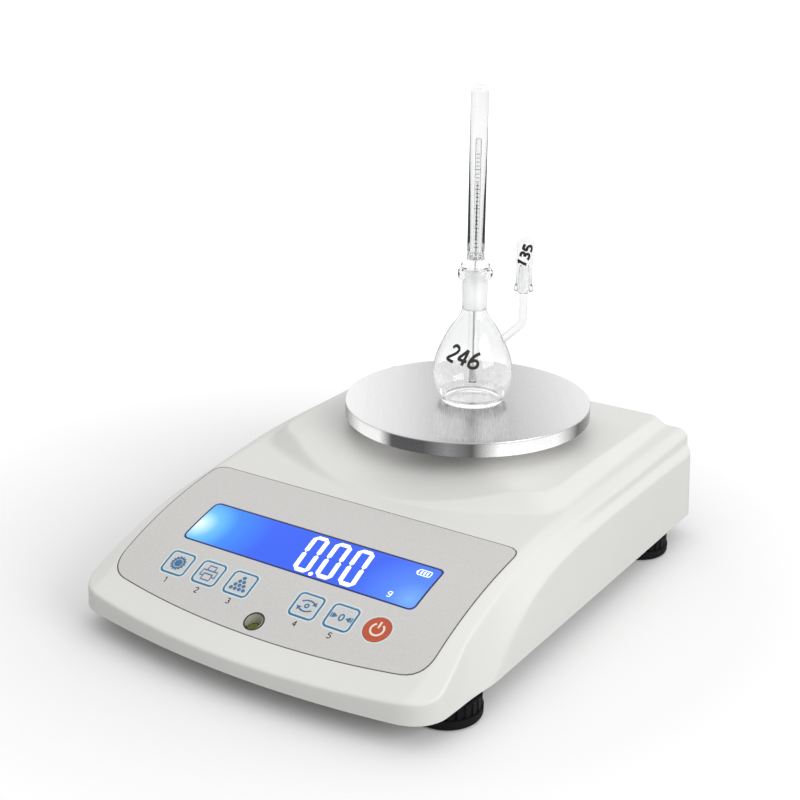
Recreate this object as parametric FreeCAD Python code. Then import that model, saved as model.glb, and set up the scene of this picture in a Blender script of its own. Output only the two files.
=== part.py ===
import FreeCAD, Part
import math
import os

from FreeCAD import Placement, Rotation, Vector

# Benchtop density meter: a top-pan weighing instrument with a glass density bottle on its pan.
# Millimetres. X to the user's right, Y away from the user, Z up. The origin is on the table, under the middle.

# Housing, seen from above
body_half_width = 102.5
body_front_y = -136.0
body_rear_y = 140.0
body_bottom = 12.0
front_bow = 0.0011            # the front edge runs back by this times x squared
front_corner = 17.5
rear_corner = 7.0
side_draft = 0.035            # how far a wall leans in for each millimetre that it rises
panel_half_width = 100.0      # the front, in front of side_start_y, is narrower than the side walls
side_start_y = -104.0
wall = 2.5

# Housing, seen from the side: height of the top along the length
top_line = [(-150, 14.4), (-136, 19.3), (-121, 24.2), (-104, 32.7), (-88.5, 39.6), (-60, 48.3),
            (-35, 52.8), (-15, 55.0), (10, 56.8), (60, 58.4), (110, 59.3), (150, 60.2)]
# The right side in sections along the length: distance along Y, where the flat top ends, then the edge of the
# strip that falls away beside it and its drop, the foot of the wall or slope under that edge, and the height
# at which the slope meets the side wall
side_sections = [(-150, 88.4, 96.5, 2.0, 99.3, 0.0, -45.0),
                 (-113, 88.4, 96.1, 2.0, 99.6, 11.0, -14.0),
                 (-96, 88.4, 95.6, 2.0, 99.4, 16.0, 2.0),
                 (-80, 88.4, 95.1, 2.0, 98.3, 27.5, 13.6),
                 (-56, 88.4, 93.7, 2.0, 97.6, 39.0, 30.5),
                 (-38, 88.4, 92.5, 2.0, 97.0, 44.8, 39.0),
                 (-20, 88.4, 92.7, 2.0, 97.1, 47.9, 43.7),
                 (0, 88.6, 94.6, 2.2, 97.3, 50.0, 46.0),
                 (30, 90.0, 96.8, 2.6, 97.5, 50.7, 47.3),
                 (66, 91.4, 97.3, 3.0, 97.5, 50.8, 47.6),
                 (110, 92.7, 97.3, 3.0, 97.5, 50.9, 47.4),
                 (150, 93.6, 97.3, 3.0, 97.5, 51.0, 46.6)]
crease_half_width = 101.6

# Raised deck under the pan
deck_top = 64.2
deck_half_width = 80.0
deck_front_y = -11.7
deck_bow = 0.0032
deck_corner = 15.0
deck_rear_corner = 18.0
deck_drop = 15.0              # the deck's sides slope at 45 degrees down to this depth
deck_edge_round = 2.0
deck_hole_radius = 14.0
# A shallow hollow brings the front of the deck down to the panel in the middle
scoop_y = -21.5
scoop_height = 54.6
scoop_slope = 0.17
scoop_radius = 380.0

# Front film and display
film_half_width = 88.0
film_front_y = -121.1
film_rear_y = -31.9
film_bow = 0.001
film_front_corner = 11.0
film_rear_corner = 7.0
film_thickness = 0.5
window_half_width = 66.1
window_front_y = -87.1
window_rear_y = -60.0
window_corner = 3.0
window_thickness = 2.0
lcd_thickness = 2.4
lcd_depth = 2.9
backlight_thickness = 4.0
board_thickness = 1.6
display_board_depth = 9.6
display_board_half_width = 76.0
display_board_half_length = 16.0

# Keys
key_y = -100.45
key_pitch = 18.85
key_width = 14.0
key_length = 13.4
key_corner = 2.6
power_key_radius = 6.6
key_thickness = 1.2
key_travel = 0.35
key_gap = 0.15
key_stem_radius = 2.6
key_stem_length = 7.3
key_board_depth = 10.2
key_board_half_width = 70.0
key_board_half_length = 9.0
switch_size = 6.0
switch_height = 2.35
buzzer_radius = 5.0
buzzer_height = 3.5

# Spirit level
level_y = -114.5
level_cup_radius = 4.95
level_cup_depth = 9.5
level_vial_radius = 3.7
level_vial_height = 5.0
level_vial_drop = 2.7
level_vial_wall = 0.6
level_bubble_radius = 1.3

# Pan and what carries it
pan_y = 67.5
pan_radius = 65.0
pan_top = 78.9
pan_thickness = 1.2
pan_rim = 8.0
pan_edge_round = 0.9
hub_radius = 13.0
hub_height = 8.7
post_radius = 6.0
post_top = 75.0
post_flange_radius = 9.5
post_flange_thickness = 2.0
post_clearance = 0.3

# Load cell and frame
frame_bottom = 18.0
frame_thickness = 3.0
frame_half_width = 35.0
frame_front_y = 8.0
frame_rear_y = 127.0
cell_half_width = 11.0
cell_height = 22.0
cell_length = 100.0
cell_end_length = 22.0
cell_spacer_thickness = 3.0
cell_bore_radius = 7.5
cell_bore_spread = 16.0
bracket_spacer_thickness = 2.5
bracket_thickness = 3.5
bracket_half_width = 18.0
load_travel = 0.4
stop_clearance = 0.2

# Feet
foot_x = 87.0
front_foot_y = -92.0
rear_foot_y = 103.0
foot_radius = 16.0
sole_height = 5.0
sole_round = 2.2
wheel_height = 5.6
wheel_radius = 15.4
wheel_gap = 0.3
grip_count = 24
grip_radius = 0.8
stud_radius = 4.0
stud_length = 20.0
thread_clearance = 0.08
insert_radius = 6.0
insert_height = 11.0
foot_boss_radius = 8.5

# Tray, battery and boards
tray_gap = 0.4
tray_floor = 2.5
tray_rim_height = 6.0
tray_rim_thickness = 1.8
battery_x = -70.0
battery_y = 19.0
battery_width = 47.0
battery_length = 97.0
battery_height = 24.0
battery_pen_wall = 1.6
battery_pen_height = 9.0
door_margin = 3.0
door_thickness = 1.2
main_board_x = 70.0
main_board_y = 30.0
main_board_width = 46.0
main_board_length = 110.0
main_board_bottom = 20.0
board_hole_inset = 4.0

# Screws
screw_radius = 1.5
screw_head_radius = 2.8
screw_head_height = 1.8
screw_clearance = 0.1
post_wall = 2.2
cell_screw_radius = 2.5
cell_screw_head_radius = 4.2

# Sockets in the back wall
jack_x = -58.0
socket_z = 29.0
jack_hole_radius = 5.6
jack_bore_radius = 3.15
jack_pin_radius = 1.0
jack_depth = 12.0
jack_nut_radius = 7.4
jack_nut_thickness = 2.0
port_x = -22.0
port_width = 30.8
port_height = 12.5
port_shell_width = 17.0
port_shell_height = 8.4
port_depth = 9.0
port_screw_spacing = 25.0
port_screw_head = 3.0
socket_gap = 0.3

# Density bottle, heights above the pan
bottle_profile = [(16.4, 0.0), (17.9, 3.0), (20.2, 9.0), (20.8, 16.0), (19.4, 24.4), (15.6, 33.4),
                  (11.2, 41.0), (7.4, 46.6), (6.3, 50.0)]
bottle_wall = 1.1
bottle_joint_radius = 6.9
bottle_joint_top = 65.0
bottle_collar_radius = 9.0
bottle_top = 71.3
cone_bottom_radius = 4.2
cone_top_radius = 5.4
joint_clearance = 0.3
stopper_top = 74.6
stopper_flange_radius = 7.6
stem_radius = 4.5
stem_top = 165.3
probe_radius = 2.9
probe_bottom = 9.0
column_radius = 0.5
column_top = 115.0
bottle_x = 2.8
arm_turn = 33.0                # degrees from the right, seen from above
arm_offset = 25.1
arm_start_x = 12.0
arm_start_height = 30.0
arm_bend_height = 41.5
arm_bend_radius = 7.0
arm_radius = 2.35
arm_bore_radius = 0.9
arm_cone_bottom = 58.5
arm_cone_top = 73.0
arm_cone_radius = 3.2
arm_tip_radius = 2.6
cap_wall = 0.8
cap_top = 88.0
cap_bottom = 59.5
cap_radius = 4.4
cap_collar_radius = 5.0
cap_collar_height = 3.0

# Wires
wire_radius = 1.6
wire_bend = 5.0
display_wire_bend = 4.0

nodes = {}


def box(x0, y0, z0, x1, y1, z1):
    return Part.makeBox(x1 - x0, y1 - y0, z1 - z0, Vector(x0, y0, z0))


def cylinder(x, y, z0, z1, radius):
    return Part.makeCylinder(radius, z1 - z0, Vector(x, y, z0))


def cone(x, y, z0, z1, radius0, radius1):
    return Part.makeCone(radius0, radius1, z1 - z0, Vector(x, y, z0))


def joined(first, *others):
    return first.fuse(list(others)).removeSplitter()


def group(shapes):
    return Part.makeCompound(list(shapes))


def mirrored(shape):
    return shape.mirror(Vector(0, 0, 0), Vector(1, 0, 0))


# A smooth line through points given as distance along Y and height
def side_curve(points, x=0.0, drop=0.0):
    curve = Part.BSplineCurve()
    curve.interpolate([Vector(x, y, z - drop) for y, z in points])
    return curve


def height_on(points, y):
    curve = side_curve(points)
    low, high = curve.FirstParameter, curve.LastParameter
    for _ in range(40):
        middle = (low + high) / 2
        if curve.value(middle).y < y:
            low = middle
        else:
            high = middle
    return curve.value(low).z


def top_height(y):
    return height_on(top_line, y)


def panel_tilt(y):
    step = 1.0
    return math.degrees(math.atan2(top_height(y + step) - top_height(y - step), 2 * step))


def wire_under(points, x, drop, bottom):
    curve = side_curve(points, x, drop)
    first, last = curve.value(curve.FirstParameter), curve.value(curve.LastParameter)
    low_first, low_last = Vector(x, first.y, bottom), Vector(x, last.y, bottom)
    return Part.Wire([curve.toShape(), Part.makeLine(last, low_last), Part.makeLine(low_last, low_first),
                      Part.makeLine(low_first, first)])


# Everything under the top line, lowered by a depth
def top_solid(depth, half_width=130.0, bottom=-5.0):
    face = Part.Face(wire_under(top_line, -half_width, depth, bottom))
    return face.extrude(Vector(2 * half_width, 0, 0))


def panel_layer(upper, lower):
    return top_solid(upper).cut(top_solid(lower))


def bezier(*poles):
    curve = Part.BezierCurve()
    curve.setPoles([Vector(*pole) for pole in poles])
    return curve.toShape()


# Closed outline seen from above: bowed front edge, rounded corners, straight sides and back
def plan_wire(half_width, front, rear, bow, front_round, rear_round, z):
    x0 = half_width - front_round
    y0 = front + bow * x0 ** 2
    y1 = y0 + 2 * bow * x0 * front_round
    y2 = y1 + front_round
    x3 = half_width - rear_round
    y3 = rear - rear_round
    tip = front - bow * x0 ** 2
    edges = [bezier((-x0, y0, z), (0, tip, z), (x0, y0, z)),
             bezier((x0, y0, z), (half_width, y1, z), (half_width, y2, z)),
             bezier((half_width, y2, z), (half_width, y3, z)),
             bezier((half_width, y3, z), (half_width, rear, z), (x3, rear, z)),
             bezier((x3, rear, z), (-x3, rear, z)),
             bezier((-x3, rear, z), (-half_width, rear, z), (-half_width, y3, z)),
             bezier((-half_width, y3, z), (-half_width, y2, z)),
             bezier((-half_width, y2, z), (-half_width, y1, z), (-x0, y0, z))]
    return Part.Wire(edges)


def upright(wire, height):
    return Part.Face(wire).extrude(Vector(0, 0, height))


# A block with the housing's outline whose walls lean in as they rise
def drafted_block(half_width, inset, z0, z1):
    wires = []
    for z in (z0, z1):
        lean = inset + side_draft * (z - body_bottom)
        wires.append(plan_wire(half_width - lean, body_front_y + lean, body_rear_y - lean, front_bow,
                               front_corner, rear_corner, z))
    return Part.makeLoft(wires, True, True)


def deck_wire(inset, z):
    return plan_wire(deck_half_width - inset, deck_front_y + inset, body_rear_y - inset, deck_bow,
                     deck_corner, deck_rear_corner, z)


# What lies outside the right side's sections, over their whole length
def side_waste(inset):
    outer = crease_half_width + 2.4
    above = deck_top + 10
    wires = []
    for y, flat_x, edge_x, edge_drop, foot_x, foot_z, crease_z in side_sections:
        height = top_height(y)
        start_x = edge_x + (flat_x - edge_x) * 1.6
        start_z = height - edge_drop + edge_drop * 1.6
        slope = (foot_z - crease_z) / (crease_half_width - foot_x)
        points = [(start_x, start_z), (edge_x, height - edge_drop), (foot_x, foot_z),
                  (outer, foot_z - slope * (outer - foot_x)), (outer, above), (start_x, above)]
        corners = [Vector(x - inset, y, z - inset) for x, z in points]
        wires.append(Part.makePolygon(corners + corners[:1]))
    return Part.makeLoft(wires, True, False)


# The raised deck with its hollow front; its back runs past the housing's back wall and is trimmed there
def deck_form(inset):
    deck = Part.makeLoft([deck_wire(inset - deck_drop, deck_top - inset - deck_drop),
                          deck_wire(inset, deck_top - inset)], True, True)
    if inset == 0:
        rim = [edge for edge in deck.Edges if edge.BoundBox.ZMin > deck_top - 0.01]
        deck = deck.makeFillet(deck_edge_round, rim)
    along = Vector(0, 1, scoop_slope).normalize()
    up = Vector(0, -scoop_slope, 1).normalize()
    length = body_rear_y - body_front_y
    start = Vector(0, scoop_y, scoop_height - inset) + up * scoop_radius - along * length / 2
    return deck.cut(Part.makeCylinder(scoop_radius, length, start, along))


# The whole outside form, or the form of the hollow when it is inset by the wall
def housing_form(inset):
    low = body_bottom - (2 if inset else 0)
    high = deck_top + 10
    outer = drafted_block(body_half_width, inset, low, high)
    sides = outer.common(box(-150, side_start_y, low, 150, 150, high))
    plan = drafted_block(panel_half_width, inset, low, high).fuse(sides)
    waste = side_waste(inset)
    core = top_solid(inset).common(plan).cut([waste, mirrored(waste)])
    return core.fuse(deck_form(inset).common(outer)).removeSplitter()


# Places a shape that was drawn with Z as the panel's outward normal
def on_panel(shape, x, y):
    placed = shape.copy()
    placed.Placement = Placement(Vector(x, y, top_height(y)), Rotation(Vector(1, 0, 0), panel_tilt(y)))
    return placed


def rounded_block(half_x, half_y, corner, z0, z1):
    block = box(-half_x, -half_y, z0, half_x, half_y, z1)
    uprights = [edge for edge in block.Edges if edge.BoundBox.ZLength > (z1 - z0) * 0.9]
    return block.makeFillet(corner, uprights)


def screw(x, y, head_z, tip_z, radius=screw_radius, head_radius=screw_head_radius):
    up = 1 if tip_z > head_z else -1
    seat = head_z + up * screw_head_height
    head = cylinder(x, y, min(head_z, seat), max(head_z, seat), head_radius)
    shank = cylinder(x, y, min(seat, tip_z), max(seat, tip_z), radius)
    socket = cylinder(x, y, min(head_z, head_z + up), max(head_z, head_z + up), radius * 0.7)
    return head.fuse(shank).cut(socket)


def screw_hole(x, y, z0, z1, radius=screw_radius):
    return cylinder(x, y, z0, z1, radius + screw_clearance)


# Keys: name, place in the row, round or square
key_row = [("key_set", -3, False), ("key_print", -2, False), ("key_enter", -1, False),
           ("key_mode", 1, False), ("key_zero", 2, False), ("key_power", 3, True)]
foot_points = {"front_left": (-foot_x, front_foot_y), "front_right": (foot_x, front_foot_y),
               "rear_left": (-foot_x, rear_foot_y), "rear_right": (foot_x, rear_foot_y)}
housing_screw_points = [(-64, -120), (64, -120), (-92, -48), (92, -48), (-84, 125), (84, 125)]
sleeve_radius = 4.2
sleeve_top = 17.5
window_y = (window_front_y + window_rear_y) / 2
display_post_points = [(x, y) for x in (-71.5, 71.5) for y in (-11.0, 11.0)]
key_post_points = [(-66.8, 0.0), (66.8, 0.0)]


def key_blank(is_round, grow, z0, z1):
    if is_round:
        return Part.makeCylinder(power_key_radius + grow, z1 - z0, Vector(0, 0, z0))
    return rounded_block(key_width / 2 + grow, key_length / 2 + grow, key_corner + grow, z0, z1)


def make_upper_housing():
    shell = housing_form(0).cut(housing_form(wall))
    film_space = upright(plan_wire(film_half_width + key_gap, film_front_y - key_gap, film_rear_y + key_gap,
                                   film_bow, film_front_corner, film_rear_corner, 0), deck_top)
    shell = shell.cut(film_space.common(panel_layer(-1, film_thickness)))
    window = rounded_block(window_half_width + post_clearance, (window_rear_y - window_front_y) / 2
                           + post_clearance, window_corner, 0, deck_top)
    window.translate(Vector(0, window_y, 0))
    cuts = [window, cylinder(0, pan_y, deck_top - 2 * wall, deck_top + 1, deck_hole_radius)]
    for _, place, is_round in key_row:
        pocket = key_blank(is_round, key_gap, -key_thickness - key_travel - key_gap, 2)
        stem_hole = Part.makeCylinder(key_stem_radius + 0.3, 8, Vector(0, 0, -7))
        cuts.append(on_panel(pocket.fuse(stem_hole), place * key_pitch, key_y))
    cuts.append(on_panel(Part.makeCylinder(level_cup_radius + key_gap, 14, Vector(0, 0, -8)), 0, level_y))
    jack_hole = Part.makeCylinder(jack_hole_radius, 12, Vector(jack_x, body_rear_y - 8, socket_z), Vector(0, 1, 0))
    port_hole = box(port_x - port_shell_width / 2 - 0.3, body_rear_y - 8, socket_z - port_shell_height / 2 - 0.3,
                    port_x + port_shell_width / 2 + 0.3, body_rear_y + 4, socket_z + port_shell_height / 2 + 0.3)
    cuts.extend([jack_hole, port_hole])
    for side in (-1, 1):
        cuts.append(Part.makeCylinder(screw_radius + screw_clearance, 12, Vector(port_x + side * port_screw_spacing
                                      / 2, body_rear_y - 8, socket_z), Vector(0, 1, 0)))
    shell = shell.cut(cuts)
    form = housing_form(wall * 0.5)
    posts = []
    for x, y in housing_screw_points:
        posts.append(cylinder(x, y, sleeve_top, deck_top, sleeve_radius).common(form))
    for x, y in display_post_points:
        post = Part.makeCylinder(screw_radius + post_wall, display_board_depth - 1, Vector(x, y, -display_board_depth))
        posts.append(on_panel(post, 0, window_y).common(form))
    for x, y in key_post_points:
        post = Part.makeCylinder(screw_radius + 1.6, key_board_depth - 1, Vector(x, y, -key_board_depth))
        posts.append(on_panel(post, 0, key_y).common(form))
    shell = shell.fuse(posts)
    drills = []
    for x, y in housing_screw_points:
        drills.append(screw_hole(x, y, sleeve_top - 1, sleeve_top + 6))
    for x, y in display_post_points:
        drills.append(on_panel(screw_hole(x, y, -display_board_depth - 1, -display_board_depth + 5.5), 0, window_y))
    for x, y in key_post_points:
        drills.append(on_panel(screw_hole(x, y, -key_board_depth - 1, -key_board_depth + 5.5), 0, key_y))
    nodes["upper_housing"] = shell.cut(drills)


def battery_outline(grow, z0, z1):
    return box(battery_x - battery_width / 2 - grow, battery_y - battery_length / 2 - grow, z0,
               battery_x + battery_width / 2 + grow, battery_y + battery_length / 2 + grow, z1)


frame_screw_points = [(x, y) for x in (-frame_half_width + 6, frame_half_width - 6)
                      for y in (frame_front_y + 6, frame_rear_y - 6)]
board_screw_points = [(main_board_x + i * (main_board_width / 2 - board_hole_inset),
                       main_board_y + j * (main_board_length / 2 - board_hole_inset))
                      for i in (-1, 1) for j in (-1, 1)]
door_screw_points = [(battery_x, battery_y + side * (battery_length / 2 + battery_pen_wall + 7)) for side in (-1, 1)]
floor_top = body_bottom + tray_floor
battery_bottom = floor_top + 0.3


def make_lower_housing():
    outside = housing_form(wall + tray_gap)
    inside = housing_form(wall + tray_gap + tray_rim_thickness)
    floor = outside.common(box(-150, -150, body_bottom, 150, 150, floor_top))
    rim = outside.common(box(-150, -150, body_bottom, 150, 150, body_bottom + tray_rim_height)).cut(inside)
    adds = [rim]
    for x, y in foot_points.values():
        adds.append(cylinder(x, y, body_bottom, body_bottom + insert_height, foot_boss_radius))
    for x, y in housing_screw_points:
        adds.append(cylinder(x, y, body_bottom, sleeve_top, sleeve_radius))
    for x, y in frame_screw_points:
        adds.append(cylinder(x, y, body_bottom, frame_bottom, screw_radius + post_wall))
    for x, y in board_screw_points:
        adds.append(cylinder(x, y, body_bottom, main_board_bottom, screw_radius + post_wall))
    for x, y in door_screw_points:
        adds.append(cylinder(x, y, body_bottom, body_bottom + 8, screw_radius + post_wall))
    pen = battery_outline(battery_pen_wall + 0.3, body_bottom, floor_top + battery_pen_height)
    adds.append(pen.cut(battery_outline(0.3, floor_top, deck_top)))
    tray = floor.fuse(adds)
    cuts = [battery_outline(-door_margin, body_bottom - 1, floor_top + 1), door_plate(0.3)]
    for x, y in foot_points.values():
        cuts.append(cylinder(x, y, body_bottom - 1, body_bottom + insert_height + 1, insert_radius))
    for x, y in housing_screw_points:
        cuts.append(screw_hole(x, y, body_bottom - 1, sleeve_top + 1))
        cuts.append(cylinder(x, y, body_bottom - 1, body_bottom + screw_head_height + 0.2, screw_head_radius + 0.3))
    for x, y in frame_screw_points:
        cuts.append(screw_hole(x, y, body_bottom + 1.5, frame_bottom + 1))
    for x, y in board_screw_points:
        cuts.append(screw_hole(x, y, body_bottom + 1.5, main_board_bottom + 1))
    for x, y in door_screw_points:
        cuts.append(screw_hole(x, y, body_bottom - 1, body_bottom + 6.5))
    nodes["lower_housing"] = tray.cut(cuts)


def door_plate(grow):
    y0, y1 = door_screw_points[0][1] - 5 - grow, door_screw_points[1][1] + 5 + grow
    half = battery_width / 2 + grow
    return box(battery_x - half, y0, body_bottom - (1 if grow else 0), battery_x + half, y1,
               body_bottom + door_thickness + grow)


def make_battery():
    nodes["battery"] = battery_outline(0, battery_bottom, battery_bottom + battery_height)
    door = door_plate(0)
    plug = battery_outline(-door_margin - 0.3, body_bottom, floor_top)
    door = joined(door, plug)
    screws = []
    for x, y in door_screw_points:
        door = door.cut(screw_hole(x, y, body_bottom - 1, body_bottom + 3))
        screws.append(screw(x, y, body_bottom - screw_head_height, body_bottom + 6))
    nodes["battery_door"] = door
    nodes["battery_door_screws"] = group(screws)


def make_panel():
    outline = upright(plan_wire(film_half_width, film_front_y, film_rear_y, film_bow, film_front_corner,
                                film_rear_corner, 0), deck_top)
    film = outline.common(panel_layer(0, film_thickness))
    half_length = (window_rear_y - window_front_y) / 2
    window = rounded_block(window_half_width, half_length, window_corner, 0, deck_top)
    hole = rounded_block(window_half_width + key_gap, half_length + key_gap, window_corner, 0, deck_top)
    window.translate(Vector(0, window_y, 0))
    hole.translate(Vector(0, window_y, 0))
    cuts = [hole, on_panel(Part.makeCylinder(level_cup_radius + key_gap, 14, Vector(0, 0, -8)), 0, level_y)]
    for name, place, is_round in key_row:
        x = place * key_pitch
        cuts.append(on_panel(key_blank(is_round, key_gap, -4, 4), x, key_y))
        pad = on_panel(key_blank(is_round, 0, -4, 4), x, key_y).common(panel_layer(0, key_thickness))
        stem_top = -key_thickness + 0.3
        stem = Part.makeCylinder(key_stem_radius, key_stem_length + stem_top, Vector(0, 0, -key_stem_length))
        nodes[name] = joined(pad, on_panel(stem, x, key_y))
    nodes["panel_film"] = film.cut(cuts)
    nodes["display_window"] = window.common(panel_layer(0, window_thickness))
    lcd_half_x = window_half_width - 1.0
    lcd_half_y = half_length - 0.8
    lcd = box(-lcd_half_x, -lcd_half_y, -lcd_depth - lcd_thickness, lcd_half_x, lcd_half_y, -lcd_depth)
    light_top = -lcd_depth - lcd_thickness
    light = box(-lcd_half_x, -lcd_half_y + 0.5, light_top - backlight_thickness, lcd_half_x, lcd_half_y - 0.5,
                light_top)
    nodes["lcd_glass"] = on_panel(lcd, 0, window_y)
    nodes["backlight"] = on_panel(light, 0, window_y)
    board = box(-display_board_half_width, -display_board_half_length, -display_board_depth - board_thickness,
                display_board_half_width, display_board_half_length, -display_board_depth)
    screws = []
    for x, y in display_post_points:
        board = board.cut(screw_hole(x, y, -20, 0))
        head = -display_board_depth - board_thickness - screw_head_height
        screws.append(on_panel(screw(x, y, head, -display_board_depth + 5), 0, window_y))
    nodes["display_board"] = on_panel(board, 0, window_y)
    key_board = box(-key_board_half_width, -key_board_half_length, -key_board_depth - board_thickness,
                    key_board_half_width, key_board_half_length, -key_board_depth)
    for x, y in key_post_points:
        key_board = key_board.cut(screw_hole(x, y, -20, 0))
        head = -key_board_depth - board_thickness - screw_head_height
        screws.append(on_panel(screw(x, y, head, -key_board_depth + 5), 0, key_y))
    nodes["key_board"] = on_panel(key_board, 0, key_y)
    nodes["panel_screws"] = group(screws)
    switches = []
    for _, place, _ in key_row:
        x = place * key_pitch
        half = switch_size / 2
        switches.append(on_panel(box(x - half, -half, -key_board_depth, x + half, half,
                                     -key_board_depth + switch_height), 0, key_y))
    nodes["key_switches"] = group(switches)
    buzzer = cylinder(0, 0, -key_board_depth, -key_board_depth + buzzer_height, buzzer_radius)
    nodes["buzzer"] = on_panel(buzzer, 0, key_y)


def make_level():
    centre_z = top_height(level_y)
    cup = on_panel(Part.makeCylinder(level_cup_radius, level_cup_depth, Vector(0, 0, -level_cup_depth)), 0, level_y)
    vial_top = centre_z - level_vial_drop
    vial_bottom = vial_top - level_vial_height
    bore = cylinder(0, level_y, vial_bottom, centre_z + 10, level_vial_radius + 0.15)
    flat = box(-10, level_y - 12, -20, 10, level_y + 12, vial_bottom - 1.2)
    nodes["level_cup"] = cup.cut([bore, flat])
    inner = level_vial_radius - level_vial_wall
    vial = cylinder(0, level_y, vial_bottom, vial_top, level_vial_radius)
    fill = cylinder(0, level_y, vial_bottom + level_vial_wall, vial_top - level_vial_wall, inner)
    bubble = Part.makeSphere(level_bubble_radius, Vector(0, level_y, vial_top - level_vial_wall
                                                         - level_bubble_radius))
    nodes["level_vial"] = vial.cut(fill)
    nodes["level_liquid"] = fill.cut(bubble)
    nodes["level_bubble"] = bubble


cell_bottom = frame_bottom + frame_thickness + cell_spacer_thickness
cell_top = cell_bottom + cell_height
cell_front_y = pan_y - cell_length / 2
cell_rear_y = pan_y + cell_length / 2
fixed_screw_y = [cell_front_y + 6, cell_front_y + 16]
free_screw_y = [cell_rear_y - 16, cell_rear_y - 6]
bracket_bottom = cell_top + bracket_spacer_thickness
bracket_top = bracket_bottom + bracket_thickness


def make_load_cell():
    frame_top = frame_bottom + frame_thickness
    frame = box(-frame_half_width, frame_front_y, frame_bottom, frame_half_width, frame_rear_y, frame_top)
    for side in (-1, 1):
        window = box(side * 24 - 7, cell_front_y + cell_end_length, frame_bottom - 1, side * 24 + 7,
                     cell_rear_y - cell_end_length, frame_top + 1)
        frame = frame.cut(window)
    screws = []
    for x, y in frame_screw_points:
        frame = frame.cut(screw_hole(x, y, frame_bottom - 1, frame_top + 1))
        screws.append(screw(x, y, frame_top + screw_head_height, body_bottom + 2))
    nodes["base_frame_screws"] = group(screws)
    spacer = box(-cell_half_width, cell_front_y, frame_top, cell_half_width, cell_front_y + cell_end_length,
                 cell_bottom)
    cell = box(-cell_half_width, cell_front_y, cell_bottom, cell_half_width, cell_rear_y, cell_top)
    middle = cell_bottom + cell_height / 2
    across = Vector(1, 0, 0)
    width = 2 * cell_half_width + 2
    for side in (-1, 1):
        cell = cell.cut(Part.makeCylinder(cell_bore_radius, width, Vector(-cell_half_width - 1, pan_y + side
                                          * cell_bore_spread / 2, middle), across))
    cell_screws = []
    for y in fixed_screw_y:
        hole = screw_hole(0, y, frame_bottom - 1, cell_bottom + 14, cell_screw_radius)
        frame = frame.cut(hole)
        spacer = spacer.cut(hole)
        cell = cell.cut(hole)
        cell_screws.append(screw(0, y, frame_bottom - screw_head_height, cell_bottom + 13, cell_screw_radius,
                                 cell_screw_head_radius))
    nodes["load_cell_screws"] = group(cell_screws)
    stop_y = cell_rear_y - 11
    frame = frame.cut(screw_hole(0, stop_y, frame_bottom - 1, frame_top + 1, cell_screw_radius))
    stop_top = cell_bottom - load_travel - stop_clearance
    nodes["overload_stop"] = screw(0, stop_y, frame_bottom - screw_head_height, stop_top, cell_screw_radius,
                                   cell_screw_head_radius)
    pad = box(-cell_half_width, cell_rear_y - cell_end_length, cell_top, cell_half_width, cell_rear_y,
              bracket_bottom)
    bracket = box(-bracket_half_width, pan_y - bracket_half_width, bracket_bottom, bracket_half_width,
                  cell_rear_y, bracket_top)
    corners = [edge for edge in bracket.Edges if edge.BoundBox.ZLength > bracket_thickness * 0.9]
    bracket = bracket.makeFillet(6.0, corners)
    bracket = bracket.fuse(cylinder(0, pan_y, bracket_top - 1, bracket_top + 5, post_radius + 5)).removeSplitter()
    bracket = bracket.cut(cylinder(0, pan_y, bracket_bottom - 1, bracket_top + 6, stud_radius + 0.1))
    bracket_screws = []
    for y in free_screw_y:
        hole = screw_hole(0, y, cell_top - 14, bracket_top + 1, cell_screw_radius)
        cell = cell.cut(hole)
        pad = pad.cut(hole)
        bracket = bracket.cut(hole)
        bracket_screws.append(screw(0, y, bracket_top + screw_head_height, cell_top - 12, cell_screw_radius,
                                    cell_screw_head_radius))
    nodes["base_frame"] = frame
    nodes["cell_spacer"] = spacer
    nodes["load_cell"] = cell
    nodes["bracket_spacer"] = pad
    nodes["pan_bracket"] = bracket
    nodes["bracket_screws"] = group(bracket_screws)


def make_pan():
    plate_bottom = pan_top - pan_thickness
    hub_bottom = plate_bottom - hub_height
    boss_top = bracket_top + 5
    nose = 1.2
    post = joined(cylinder(0, pan_y, bracket_bottom + 0.3, boss_top + 1, stud_radius),
                  cylinder(0, pan_y, boss_top, post_top - nose, post_radius),
                  cone(0, pan_y, post_top - nose, post_top, post_radius, post_radius - nose),
                  cylinder(0, pan_y, hub_bottom - post_flange_thickness, hub_bottom, post_flange_radius))
    nodes["pan_post"] = post
    hub = cylinder(0, pan_y, hub_bottom, plate_bottom, hub_radius)
    nodes["pan_hub"] = hub.cut(cylinder(0, pan_y, hub_bottom - 1, post_top + post_clearance,
                                        post_radius + post_clearance))
    pan = cylinder(0, pan_y, pan_top - pan_rim, pan_top, pan_radius)
    upper = [edge for edge in pan.Edges if edge.BoundBox.ZMin > pan_top - 0.01]
    pan = pan.makeFillet(pan_edge_round, upper)
    nodes["weighing_pan"] = pan.cut(cylinder(0, pan_y, pan_top - pan_rim - 1, plate_bottom,
                                             pan_radius - pan_thickness))


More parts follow.
